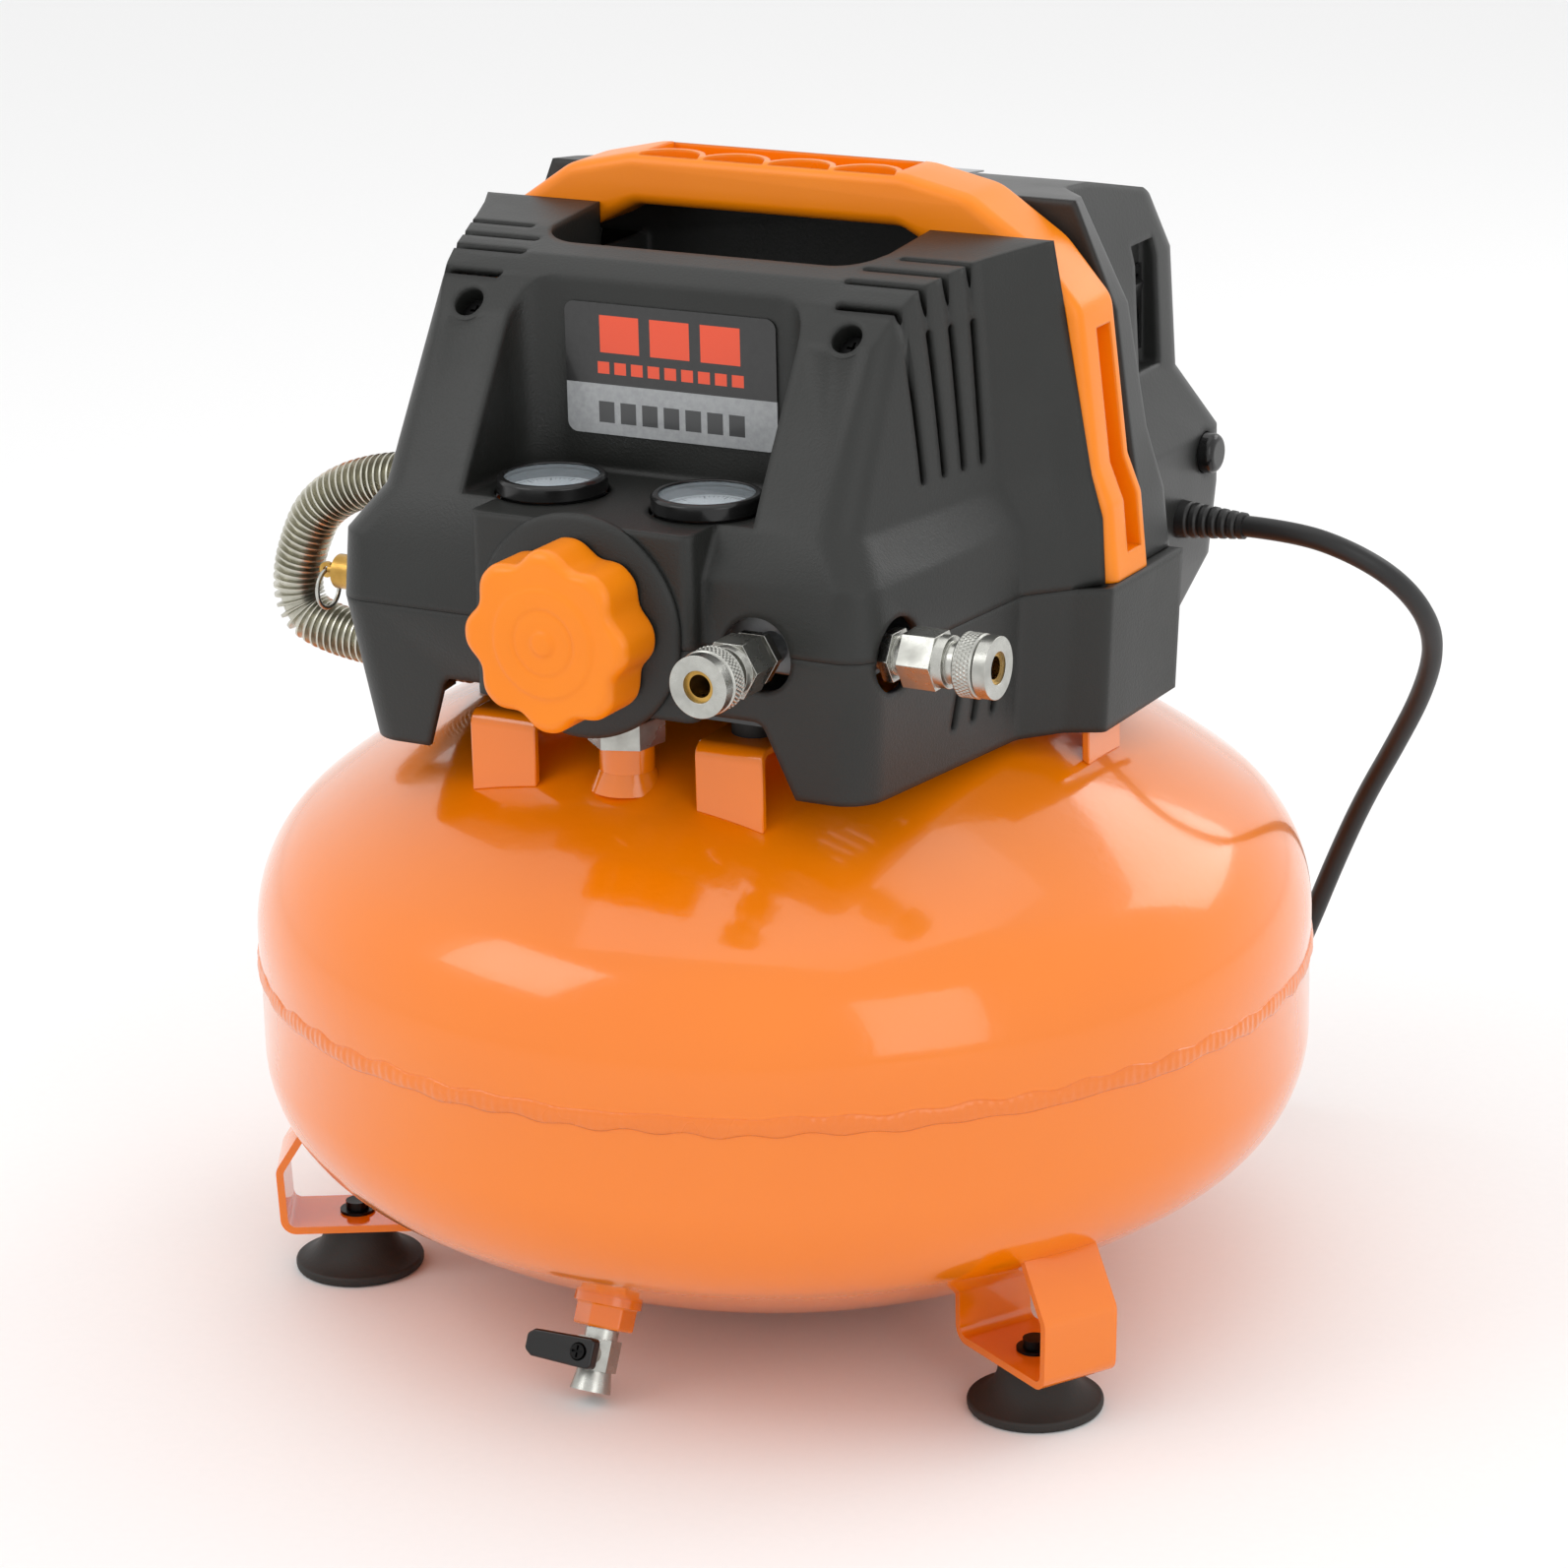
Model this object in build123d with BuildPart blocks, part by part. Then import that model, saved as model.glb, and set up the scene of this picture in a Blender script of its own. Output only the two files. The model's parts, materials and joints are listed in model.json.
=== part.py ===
"""Six gallon pancake air compressor, modelled as the assembly it is built from.

Frame: millimetres, +Z up, origin on the floor below the tank's centre.
The front, with the regulator knob and the gauges, faces -Y.
"""
import os
from math import atan, cos, pi, radians, sin, sqrt, tan

from build123d import *

os.makedirs("parts", exist_ok=True)


def save(piece, label):
    """Labels a finished piece and writes it to its own STEP file."""
    piece.label = label
    export_step(piece, f"parts/{label}.step")


def mirrored(points):
    """A half outline of +X points, completed with its mirror image in X."""
    return points + [(-x, y) for x, y in reversed(points)]


# ---------------------------------------------------------------- tank sizes
TANK_WALL = 2.6
UPPER_RADIUS = 206.9          # the upper shell laps over the lower one
LOWER_RADIUS = 206.4
UPPER_SHOULDER_Z = 150.4      # where the upper knuckle starts
LOWER_SHOULDER_Z = 103.4
UPPER_KNUCKLE = 58.3
LOWER_KNUCKLE = 49.9
UPPER_CROWN = 302.9
LOWER_CROWN = 318.5
SEAM_Z = 140.0
SEAM_RADIUS = 209.2

# ---------------------------------------------------------------- foot sizes
FOOT_CIRCLE = 174.4
FOOT_ANGLES = {"front_left": -150, "front_right": -30, "rear": 90}
FOOT_BASE_RADIUS = 25.7
FOOT_HEIGHT = 20.0
STRAP = 3.0                   # thickness of every bent steel strap
FOOT_STRAP_WIDTH = 32.0

# ------------------------------------------------------------- housing sizes
PARTING_Z = 297.0             # joint between the upper and lower shrouds
SKIN = 3.0                    # moulded wall thickness
PANEL_Y = -146.0              # raised centre panel that carries the knob
PANEL_HALF = 46.0
HANDLE_FRONT, HANDLE_BACK = -4.5, 28.0
SHELF_Z = 339.0
REAR_Y = 165.0
GAP = 0.5                     # between neighbouring mouldings

# ------------------------------------------------------------ control sizes
KNOB_Z = 301.4
KNOB_FACE_Y = -174.0
KNOB_RADIUS = 34.0
GAUGE_X, GAUGE_Y, GAUGE_TOP = 32.6, -109.0, 345.5
COUPLER_Z = 296.0
FRONT_COUPLER = (67.6, -138.0)
SIDE_COUPLER = (110.5, -116.0)

# --------------------------------------------------------------- pump sizes
THROW = 9.5
BORE = 60.0


def crown_wall(sign, radius, shoulder, knuckle, crown):
    """Points of a dished end: shoulder, knuckle end and crown top.

    sign is +1 for the upper shell and -1 for the lower one.
    """
    knuckle_r = radius - knuckle
    drop = sqrt((crown - knuckle) ** 2 - knuckle_r ** 2)
    centre_z = shoulder - sign * drop
    scale = crown / (crown - knuckle)
    tangent = (knuckle_r * scale, centre_z + sign * drop * scale)
    half = 0.5 * atan(drop / knuckle_r)
    middle = (knuckle_r + knuckle * cos(half), shoulder + sign * knuckle * sin(half))
    top = (0, centre_z + sign * crown)
    share = 0.5 * atan(knuckle_r / drop)
    crown_middle = (crown * sin(share), centre_z + sign * crown * cos(share))
    return middle, tangent, crown_middle, top


def tank_height(r, sign=1):
    """Height of the tank's outer surface at radius r, on its top or its bottom."""
    if sign > 0:
        radius, shoulder, knuckle, crown = UPPER_RADIUS, UPPER_SHOULDER_Z, UPPER_KNUCKLE, UPPER_CROWN
    else:
        radius, shoulder, knuckle, crown = LOWER_RADIUS, LOWER_SHOULDER_Z, LOWER_KNUCKLE, LOWER_CROWN
    knuckle_r = radius - knuckle
    drop = sqrt((crown - knuckle) ** 2 - knuckle_r ** 2)
    if r > knuckle_r * crown / (crown - knuckle):
        return shoulder + sign * sqrt(max(knuckle ** 2 - (r - knuckle_r) ** 2, 0))
    return shoulder + sign * (sqrt(crown ** 2 - r ** 2) - drop)


def shell_section(sign, end_z, wall=TANK_WALL):
    """The closed wall section of one tank half, from its crown to the height end_z."""
    if sign > 0:
        sizes = (UPPER_RADIUS, UPPER_SHOULDER_Z, UPPER_KNUCKLE, UPPER_CROWN)
    else:
        sizes = (LOWER_RADIUS, LOWER_SHOULDER_Z, LOWER_KNUCKLE, LOWER_CROWN)
    radius, shoulder, knuckle, crown = sizes
    out = crown_wall(sign, radius, shoulder, knuckle, crown)
    ins = crown_wall(sign, radius - wall, shoulder, knuckle - wall, crown - wall)
    with BuildSketch(Plane.XZ) as section:
        with BuildLine():
            Line((radius, end_z), (radius, shoulder))
            ThreePointArc((radius, shoulder), out[0], out[1])
            ThreePointArc(out[1], out[2], out[3])
            Line(out[3], ins[3])
            ThreePointArc(ins[3], ins[2], ins[1])
            ThreePointArc(ins[1], ins[0], (radius - wall, shoulder))
            Line((radius - wall, shoulder), (radius - wall, end_z))
            Line((radius - wall, end_z), (radius, end_z))
        make_face()
    return section.sketch


# ---------------------------------------------------------------------- tank
with BuildPart() as tank_upper_shell:
    add(shell_section(1, SEAM_Z))
    revolve(axis=Axis.Z)
save(tank_upper_shell.part, "tank_upper_shell")

with BuildPart() as tank_body:          # the tank as one solid, which trims what is welded to it
    with BuildSketch(Plane.XZ):
        upper = crown_wall(1, UPPER_RADIUS, UPPER_SHOULDER_Z, UPPER_KNUCKLE, UPPER_CROWN)
        lower = crown_wall(-1, LOWER_RADIUS, LOWER_SHOULDER_Z, LOWER_KNUCKLE, LOWER_CROWN)
        with BuildLine():
            Line((LOWER_RADIUS, LOWER_SHOULDER_Z), (UPPER_RADIUS, UPPER_SHOULDER_Z))
            ThreePointArc((UPPER_RADIUS, UPPER_SHOULDER_Z), upper[0], upper[1])
            ThreePointArc(upper[1], upper[2], upper[3])
            Line(upper[3], lower[3])
            ThreePointArc(lower[3], lower[2], lower[1])
            ThreePointArc(lower[1], lower[0], (LOWER_RADIUS, LOWER_SHOULDER_Z))
        make_face()
    revolve(axis=Axis.Z)

JOGGLE = 2.4                  # the lower rim steps in by this to fit inside the upper shell
with BuildPart() as tank_lower_shell:
    add(shell_section(-1, SEAM_Z - 3))
    revolve(axis=Axis.Z)
    with BuildSketch(Plane.XZ):
        Polygon(
            (LOWER_RADIUS, SEAM_Z - 3), (LOWER_RADIUS - JOGGLE, SEAM_Z), (LOWER_RADIUS - JOGGLE, SEAM_Z + 12),
            (LOWER_RADIUS - JOGGLE - TANK_WALL, SEAM_Z + 12), (LOWER_RADIUS - JOGGLE - TANK_WALL, SEAM_Z),
            (LOWER_RADIUS - TANK_WALL, SEAM_Z - 3), align=None,
        )
    revolve(axis=Axis.Z)
save(tank_lower_shell.part, "tank_lower_shell")

with BuildPart() as tank_girth_weld:
    with BuildSketch(Plane.XZ):
        with BuildLine():
            Polyline((LOWER_RADIUS, SEAM_Z - 4), (LOWER_RADIUS, SEAM_Z - 3), (LOWER_RADIUS - 0.8, SEAM_Z - 2),
                     (LOWER_RADIUS - 0.8, SEAM_Z), (UPPER_RADIUS, SEAM_Z), (UPPER_RADIUS, SEAM_Z + 4))
            ThreePointArc((UPPER_RADIUS, SEAM_Z + 4), (SEAM_RADIUS, SEAM_Z), (LOWER_RADIUS, SEAM_Z - 4))
        make_face()
    revolve(axis=Axis.Z)
save(tank_girth_weld.part, "tank_girth_weld")


# ---------------------------------------------------------------------- feet
def radial_plane(angle, centre_r, z=0.0):
    """A plane at a foot: its X points outwards from the tank axis, its Y up."""
    a = radians(angle)
    return Plane(origin=(centre_r * cos(a), centre_r * sin(a), z), x_dir=(cos(a), sin(a), 0),
                 z_dir=(sin(a), -cos(a), 0))


FOOT_LEG_OUT, FOOT_LEG_IN = 28.0, -28.0       # strap legs either side of the foot centre
BULGE_Z = 47.0
for place, angle in FOOT_ANGLES.items():
    inner_top = tank_height(FOOT_CIRCLE + FOOT_LEG_IN, -1)
    outer_r = 16.0
    outer_top = tank_height(FOOT_CIRCLE + outer_r, -1)
    with BuildPart() as foot_bracket:
        with BuildSketch(radial_plane(angle, FOOT_CIRCLE)):
            with BuildLine():
                FilletPolyline(
                    (FOOT_LEG_IN, inner_top + 6), (FOOT_LEG_IN, FOOT_HEIGHT + STRAP / 2),
                    (FOOT_LEG_OUT, FOOT_HEIGHT + STRAP / 2), (FOOT_LEG_OUT + 1, BULGE_Z),
                    (outer_r - 3, outer_top + 5), radius=5,
                )
            trace(line_width=STRAP)
        extrude(amount=FOOT_STRAP_WIDTH / 2, both=True)
        add(tank_body.part, mode=Mode.SUBTRACT)
        with Locations(radial_plane(angle, FOOT_CIRCLE, FOOT_HEIGHT) * Rotation(-90, 0, 0)):
            Cylinder(4.2, 20, mode=Mode.SUBTRACT)
    save(foot_bracket.part, f"foot_bracket_{place}")


with BuildPart() as rubber_feet:
    for angle in FOOT_ANGLES.values():
        with BuildSketch(radial_plane(angle, FOOT_CIRCLE)):
            with BuildLine():
                Polyline((0, 2.5), (19, 2.5), (21.5, 0), (FOOT_BASE_RADIUS - 1, 0), (FOOT_BASE_RADIUS, 1.2),
                         (FOOT_BASE_RADIUS, 4))
                ThreePointArc((FOOT_BASE_RADIUS, 4), (16.8, 9), (14, FOOT_HEIGHT - 1.5))
                Polyline((14, FOOT_HEIGHT - 1.5), (12.5, FOOT_HEIGHT), (0, FOOT_HEIGHT), (0, 2.5))
            make_face()
        centre = (FOOT_CIRCLE * cos(radians(angle)), FOOT_CIRCLE * sin(radians(angle)), FOOT_HEIGHT)
        revolve(axis=Axis(centre, (0, 0, 1)))
        with Locations(centre):
            Hole(4.2, 12)
save(rubber_feet.part, "rubber_feet")

with BuildPart() as foot_bolts:
    with PolarLocations(FOOT_CIRCLE, 3, start_angle=FOOT_ANGLES["rear"]):
        with Locations((0, 0, FOOT_HEIGHT - 12)):
            Cylinder(4.2, 12 + STRAP, align=(Align.CENTER, Align.CENTER, Align.MIN))
        with Locations((0, 0, FOOT_HEIGHT + STRAP)):
            Cylinder(7, 1.2, align=(Align.CENTER, Align.CENTER, Align.MIN))
        with Locations((0, 0, FOOT_HEIGHT + STRAP + 1.2)):
            Cylinder(4.6, 3.4, align=(Align.CENTER, Align.CENTER, Align.MIN))
save(foot_bolts.part, "foot_bolts")


# --------------------------------------------------------------------- drain
DRAIN_R = 143.0                # where the boss stands on the lower crown
DRAIN_LEAN = 26.7              # degrees from straight down, towards the front
BOSS_LENGTH = 12.0
STEM_AT = 22.0                 # stem axis, measured along the drain from the tank
BALL_RADIUS = 5.0
LEVER_LENGTH = 23.0
drain_plane = Plane(origin=(0, -DRAIN_R, tank_height(DRAIN_R, -1)), x_dir=(1, 0, 0),
                    z_dir=(0, -sin(radians(DRAIN_LEAN)), -cos(radians(DRAIN_LEAN))))
stem_plane = Plane(origin=drain_plane.from_local_coords((0, 0, STEM_AT)), x_dir=(-1, 0, 0),
                   z_dir=drain_plane.y_dir)

with BuildPart() as drain_boss:
    with BuildSketch(drain_plane.offset(-4)):
        Circle(13)
    extrude(amount=7)
    with BuildSketch(drain_plane.offset(3)):
        RegularPolygon(11.6, 6, rotation=30)
    extrude(amount=BOSS_LENGTH - 3)
    fillet(drain_boss.edges().filter_by(GeomType.LINE), 1.2)
    add(tank_body.part, mode=Mode.SUBTRACT)
    with BuildSketch(drain_plane.offset(-6)):
        Circle(5)
    extrude(amount=BOSS_LENGTH + 8, mode=Mode.SUBTRACT)
save(drain_boss.part, "drain_boss")

with BuildPart() as drain_valve_body:
    with BuildSketch(drain_plane.offset(BOSS_LENGTH - 7)):
        Circle(5)
    extrude(amount=8)
    with BuildSketch(drain_plane.offset(BOSS_LENGTH + 0.3)):
        Circle(6.4)
    extrude(amount=4)
    with BuildSketch(drain_plane.offset(BOSS_LENGTH + 4)):
        RegularPolygon(8.2, 6, rotation=30)
    extrude(amount=12)
    with BuildSketch(drain_plane.offset(BOSS_LENGTH + 16)):
        Circle(6.6)
    extrude(amount=8, taper=-9)
    with BuildSketch(stem_plane.offset(5)):
        Circle(4.6)
    extrude(amount=5)
    with BuildSketch(drain_plane.offset(BOSS_LENGTH - 8)):
        Circle(3)
    extrude(amount=36, mode=Mode.SUBTRACT)
    with Locations(drain_plane.from_local_coords((0, 0, STEM_AT))):
        Sphere(BALL_RADIUS + 0.3, mode=Mode.SUBTRACT)
    with BuildSketch(stem_plane):
        Circle(2.25)
    extrude(amount=12, mode=Mode.SUBTRACT)
save(drain_valve_body.part, "drain_valve_body")

with BuildPart() as drain_ball_stem:
    with Locations(drain_plane.from_local_coords((0, 0, STEM_AT))):
        Sphere(BALL_RADIUS)
    with BuildSketch(stem_plane):
        Circle(2.2)
    extrude(amount=14)
    with BuildSketch(Plane(origin=stem_plane.origin, x_dir=(0, 0, 1), z_dir=(1, 0, 0))):
        Circle(2.4)
    extrude(amount=8, both=True, mode=Mode.SUBTRACT)
save(drain_ball_stem.part, "drain_ball_stem")

with BuildPart() as drain_lever:
    with BuildSketch(stem_plane.offset(10.5)):
        with BuildLine():
            Polyline((-6, 6), (LEVER_LENGTH - 3, 5.2), (LEVER_LENGTH, 3), (LEVER_LENGTH, -3),
                     (LEVER_LENGTH - 3, -5.2), (-6, -6), (-6, 6))
        make_face()
    extrude(amount=5)
    fillet(drain_lever.edges().filter_by(Axis(stem_plane.origin, stem_plane.z_dir)), 2)
    fillet(drain_lever.faces().sort_by(Axis(stem_plane.origin, stem_plane.z_dir))[-1].edges(), 1)
    with BuildSketch(stem_plane.offset(8)):
        Circle(2.2)
    extrude(amount=6, mode=Mode.SUBTRACT)
    with BuildSketch(stem_plane.offset(14)):
        Circle(3.2)
    extrude(amount=4, mode=Mode.SUBTRACT)
save(drain_lever.part, "drain_lever")

with BuildPart() as drain_lever_screw:
    with BuildSketch(stem_plane.offset(14)):
        Circle(2.9)
    extrude(amount=2.2)
    with BuildSketch(stem_plane.offset(15.2)):
        Rectangle(4.6, 0.9)
        Rectangle(0.9, 4.6)
    extrude(amount=3, mode=Mode.SUBTRACT)
save(drain_lever_screw.part, "drain_lever_screw")


# ------------------------------------------------- brackets and pump support
BRACKET_TOP = 256.0
GROMMET_TOP = 262.0
PLATE_TOP = 265.0
FRONT_LEGS = (-124.5, -84.5)            # y of the front brackets' two legs
SIDE_LEGS = (135.0, 108.0)              # x of the side brackets' two legs
FRONT_BRACKET_X, SIDE_BRACKET_Y = 48.0, 6.0
BRACKET_WIDTH = 28.0


def strap_line(first, second, side_offset):
    """Corner points of a bracket: up one leg, across its top and down the other."""
    top = BRACKET_TOP - STRAP / 2
    foot_1 = tank_height(sqrt(first ** 2 + side_offset ** 2)) - 8
    foot_2 = tank_height(sqrt(second ** 2 + side_offset ** 2)) - 8
    return (first, foot_1), (first, top), (second, top), (second, foot_2)


with BuildPart() as pump_brackets:
    for x in (-FRONT_BRACKET_X, FRONT_BRACKET_X):
        with BuildSketch(Plane.YZ.offset(x)):
            with BuildLine():
                FilletPolyline(*strap_line(*FRONT_LEGS, FRONT_BRACKET_X), radius=4)
            trace(line_width=STRAP)
        extrude(amount=BRACKET_WIDTH / 2, both=True)
    for turn in (1, -1):
        with BuildSketch(Plane.XZ.offset(-SIDE_BRACKET_Y)):
            with BuildLine():
                FilletPolyline(*[(turn * x, z) for x, z in strap_line(*SIDE_LEGS, SIDE_BRACKET_Y)], radius=4)
            trace(line_width=STRAP)
        extrude(amount=BRACKET_WIDTH / 2, both=True)
    add(tank_body.part, mode=Mode.SUBTRACT)
save(pump_brackets.part, "pump_brackets")

GROMMETS = [(x, -104.5) for x in (-FRONT_BRACKET_X, FRONT_BRACKET_X)]
GROMMETS += [(x, SIDE_BRACKET_Y) for x in (-121.5, 121.5)]
with BuildPart() as pump_grommets:
    with Locations(*[(x, y, BRACKET_TOP) for x, y in GROMMETS]):
        Cylinder(9, GROMMET_TOP - BRACKET_TOP, align=(Align.CENTER, Align.CENTER, Align.MIN))
save(pump_grommets.part, "pump_grommets")

with BuildPart() as base_plate:
    with BuildSketch(Plane.XY.offset(GROMMET_TOP)):
        with BuildLine():
            FilletPolyline(*mirrored([(24, -92), (24, -116), (64, -116), (64, -14), (134, -14), (134, 22),
                                      (64, 22), (64, 118)]), radius=5, close=True)
        make_face()
    extrude(amount=PLATE_TOP - GROMMET_TOP)
save(base_plate.part, "base_plate")

# ------------------------------------------------------ tank outlet and pipes
OUTLET_Y = -116.5
outlet_foot = tank_height(-OUTLET_Y)
HEX_BASE = 249.5
with BuildPart() as tank_nipple:
    with BuildSketch(Plane.XY.offset(outlet_foot - 4)):
        with Locations((0, OUTLET_Y)):
            Circle(14)
    extrude(amount=7.5, taper=25)
    with BuildSketch(Plane.XY.offset(outlet_foot - 4)):
        with Locations((0, OUTLET_Y)):
            Circle(10.4)
    extrude(amount=HEX_BASE - outlet_foot + 4)
    add(tank_body.part, mode=Mode.SUBTRACT)
    with Locations((0, OUTLET_Y, HEX_BASE)):
        Hole(6, 40)
save(tank_nipple.part, "tank_nipple")

MANIFOLD = {"x": (-42, 80), "y": (-126, -102), "z": (286, 310)}
with BuildPart() as check_valve:
    with BuildSketch(Plane.XY.offset(HEX_BASE)):
        with Locations((0, OUTLET_Y)):
            RegularPolygon(14.6, 6, rotation=20)
    extrude(amount=10)
    with BuildSketch(Plane.XY.offset(HEX_BASE + 10)):
        with Locations((0, OUTLET_Y)):
            Circle(8.5)
    extrude(amount=MANIFOLD["z"][0] - HEX_BASE - 10)
    with Locations((0, OUTLET_Y, MANIFOLD["z"][0])):
        Hole(5, 50)
save(check_valve.part, "check_valve")


def span(limits):
    """Centre and length of a (low, high) pair."""
    return (limits[0] + limits[1]) / 2, limits[1] - limits[0]


(mx, mw), (my, md), (mz, mh) = (span(MANIFOLD[k]) for k in "xyz")
SAFETY_Y, SAFETY_Z = -110.0, 298.0
GAUGE_STEM = 324.0
with BuildPart() as manifold:
    with Locations((mx, my, mz)):
        Box(mw, md, mh)
    fillet(manifold.edges(), 1.5)
    with BuildSketch(Plane.XY.offset(MANIFOLD["z"][1])):      # stems up to the gauges
        with Locations((-GAUGE_X, GAUGE_Y), (GAUGE_X, GAUGE_Y)):
            Circle(5)
    extrude(amount=GAUGE_STEM - MANIFOLD["z"][1])
    with BuildSketch(Plane.YZ.offset(MANIFOLD["x"][0])):      # arm to the safety valve
        with Locations((SAFETY_Y, SAFETY_Z)):
            Circle(6)
    extrude(amount=-52)
    with BuildSketch(Plane.XZ.offset(-MANIFOLD["y"][0])):     # port of the front coupler
        with Locations((FRONT_COUPLER[0], COUPLER_Z)):
            Circle(6)
    extrude(amount=8)
    with BuildSketch(Plane.YZ.offset(MANIFOLD["x"][1])):      # port of the side coupler
        with Locations((SIDE_COUPLER[1], COUPLER_Z)):
            Circle(6)
    extrude(amount=26)
save(manifold.part, "manifold")


# ----------------------------------------------------------------- couplers
COUPLER_PULL = 4.5


def make_coupler(plane, place):
    """A quick coupler whose plane's origin is on the housing wall and whose Z points outwards."""
    with BuildPart() as body:
        for low, high, radius in ((-4, -1, 6), (3, 7, 7), (20, 24, 9.6), (24, 37, 7.6)):
            with BuildSketch(plane.offset(low)):
                Circle(radius)
            extrude(amount=high - low)
        for low, high, radius in ((-1, 3, 10.2), (7, 20, 11.4)):
            with BuildSketch(plane.offset(low)):
                RegularPolygon(radius, 6)
            extrude(amount=high - low)
        with BuildSketch(plane.offset(37)):
            Circle(11.4)
        extrude(amount=5)
        with BuildSketch(plane.offset(24)):
            Circle(5.9)
        extrude(amount=20, mode=Mode.SUBTRACT)
        with BuildSketch(plane.offset(-6)):
            Circle(3)
        extrude(amount=32, mode=Mode.SUBTRACT)
    save(body.part, f"coupler_body_{place}")
    with BuildPart() as sleeve:
        with BuildSketch(plane.offset(24 + COUPLER_PULL + 0.2)):
            Circle(11.8)
            Circle(7.65, mode=Mode.SUBTRACT)
        extrude(amount=37 - 0.4 - 24 - COUPLER_PULL - 0.2)
        fillet(sleeve.edges().filter_by(GeomType.CIRCLE).group_by(SortBy.RADIUS)[-1], 0.8)
    save(sleeve.part, f"coupler_sleeve_{place}")
    with BuildPart() as seat:
        with BuildSketch(plane.offset(28)):
            Circle(5.9)
            Circle(4.2, mode=Mode.SUBTRACT)
        extrude(amount=12.5)
    return seat.part


front_coupler_plane = Plane(origin=(FRONT_COUPLER[0], FRONT_COUPLER[1], COUPLER_Z), x_dir=(1, 0, 0),
                            z_dir=(0, -1, 0))
side_coupler_plane = Plane(origin=(SIDE_COUPLER[0], SIDE_COUPLER[1], COUPLER_Z), x_dir=(0, 1, 0),
                           z_dir=(1, 0, 0))
front_seat = make_coupler(front_coupler_plane, "front")
side_seat = make_coupler(side_coupler_plane, "side")
save(Compound(children=[front_seat, side_seat]), "coupler_seats")


# ------------------------------------------------------------- safety valve
VALVE_END = -128.0
EYE_X = -133.5
RING_RADIUS, RING_WIRE = 7.4, 0.85
with BuildPart() as safety_valve_body:
    with BuildSketch(Plane.YZ.offset(MANIFOLD["x"][0] - 52)):
        with Locations((SAFETY_Y, SAFETY_Z)):
            RegularPolygon(8.4, 6)
    extrude(amount=-10)
    with BuildSketch(Plane.YZ.offset(MANIFOLD["x"][0] - 62)):
        with Locations((SAFETY_Y, SAFETY_Z)):
            Circle(6.6)
    extrude(amount=VALVE_END - MANIFOLD["x"][0] + 62)
    with BuildSketch(Plane.YZ.offset(VALVE_END)):
        with Locations((SAFETY_Y, SAFETY_Z)):
            Circle(2.05)
    extrude(amount=24, mode=Mode.SUBTRACT)
save(safety_valve_body.part, "safety_valve_body")

with BuildPart() as safety_valve_stem:
    with BuildSketch(Plane.YZ.offset(VALVE_END + 18)):
        with Locations((SAFETY_Y, SAFETY_Z)):
            Circle(2)
    extrude(amount=EYE_X + 1 - VALVE_END - 18)
    with BuildSketch(Plane.XZ.offset(-SAFETY_Y)):
        with Locations((EYE_X, SAFETY_Z)):
            Circle(3)
            Circle(1.4, mode=Mode.SUBTRACT)
    extrude(amount=0.9, both=True)
save(safety_valve_stem.part, "safety_valve_stem")

with BuildPart() as safety_valve_ring:
    with BuildSketch(Plane.XZ.offset(-SAFETY_Y)):
        with Locations((EYE_X, SAFETY_Z)):
            Circle(RING_WIRE)
    revolve(axis=Axis((EYE_X, SAFETY_Y, SAFETY_Z - RING_RADIUS), (1, 0, 0)))
save(safety_valve_ring.part, "safety_valve_ring")


# ------------------------------------------------------- regulator and knob
regulator_plane = Plane(origin=(0, MANIFOLD["y"][0], KNOB_Z), x_dir=(1, 0, 0), z_dir=(0, -1, 0))
panel_back = MANIFOLD["y"][0] - (PANEL_Y + SKIN)      # distance from the manifold to the panel
KNOB_BACK_Y = -150.0
with BuildPart() as regulator_body:
    with BuildSketch(regulator_plane):
        Circle(18)
    extrude(amount=panel_back - GAP)
    with BuildSketch(regulator_plane.offset(panel_back - GAP)):
        Circle(11)
    extrude(amount=KNOB_BACK_Y * -1 + MANIFOLD["y"][0] - panel_back)
    with BuildSketch(regulator_plane.offset(panel_back)):
        Circle(4.95)
    extrude(amount=24)
save(regulator_body.part, "regulator_body")

knob_plane = Plane(origin=(0, KNOB_BACK_Y - GAP, KNOB_Z), x_dir=(1, 0, 0), z_dir=(0, -1, 0))
knob_depth = KNOB_BACK_Y - GAP - KNOB_FACE_Y
with BuildPart() as regulator_knob:
    with BuildSketch(knob_plane):
        Circle(KNOB_RADIUS)
        with PolarLocations(KNOB_RADIUS + 7, 8, start_angle=8):
            Circle(10.5, mode=Mode.SUBTRACT)
    extrude(amount=knob_depth)
    fillet(regulator_knob.faces().sort_by(Axis.Y)[0].edges(), 3)
    with BuildSketch(knob_plane):
        Circle(5.0)
    extrude(amount=panel_back + 24 - (KNOB_BACK_Y * -1 + MANIFOLD["y"][0]) + 1, mode=Mode.SUBTRACT)
save(regulator_knob.part, "regulator_knob")


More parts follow.
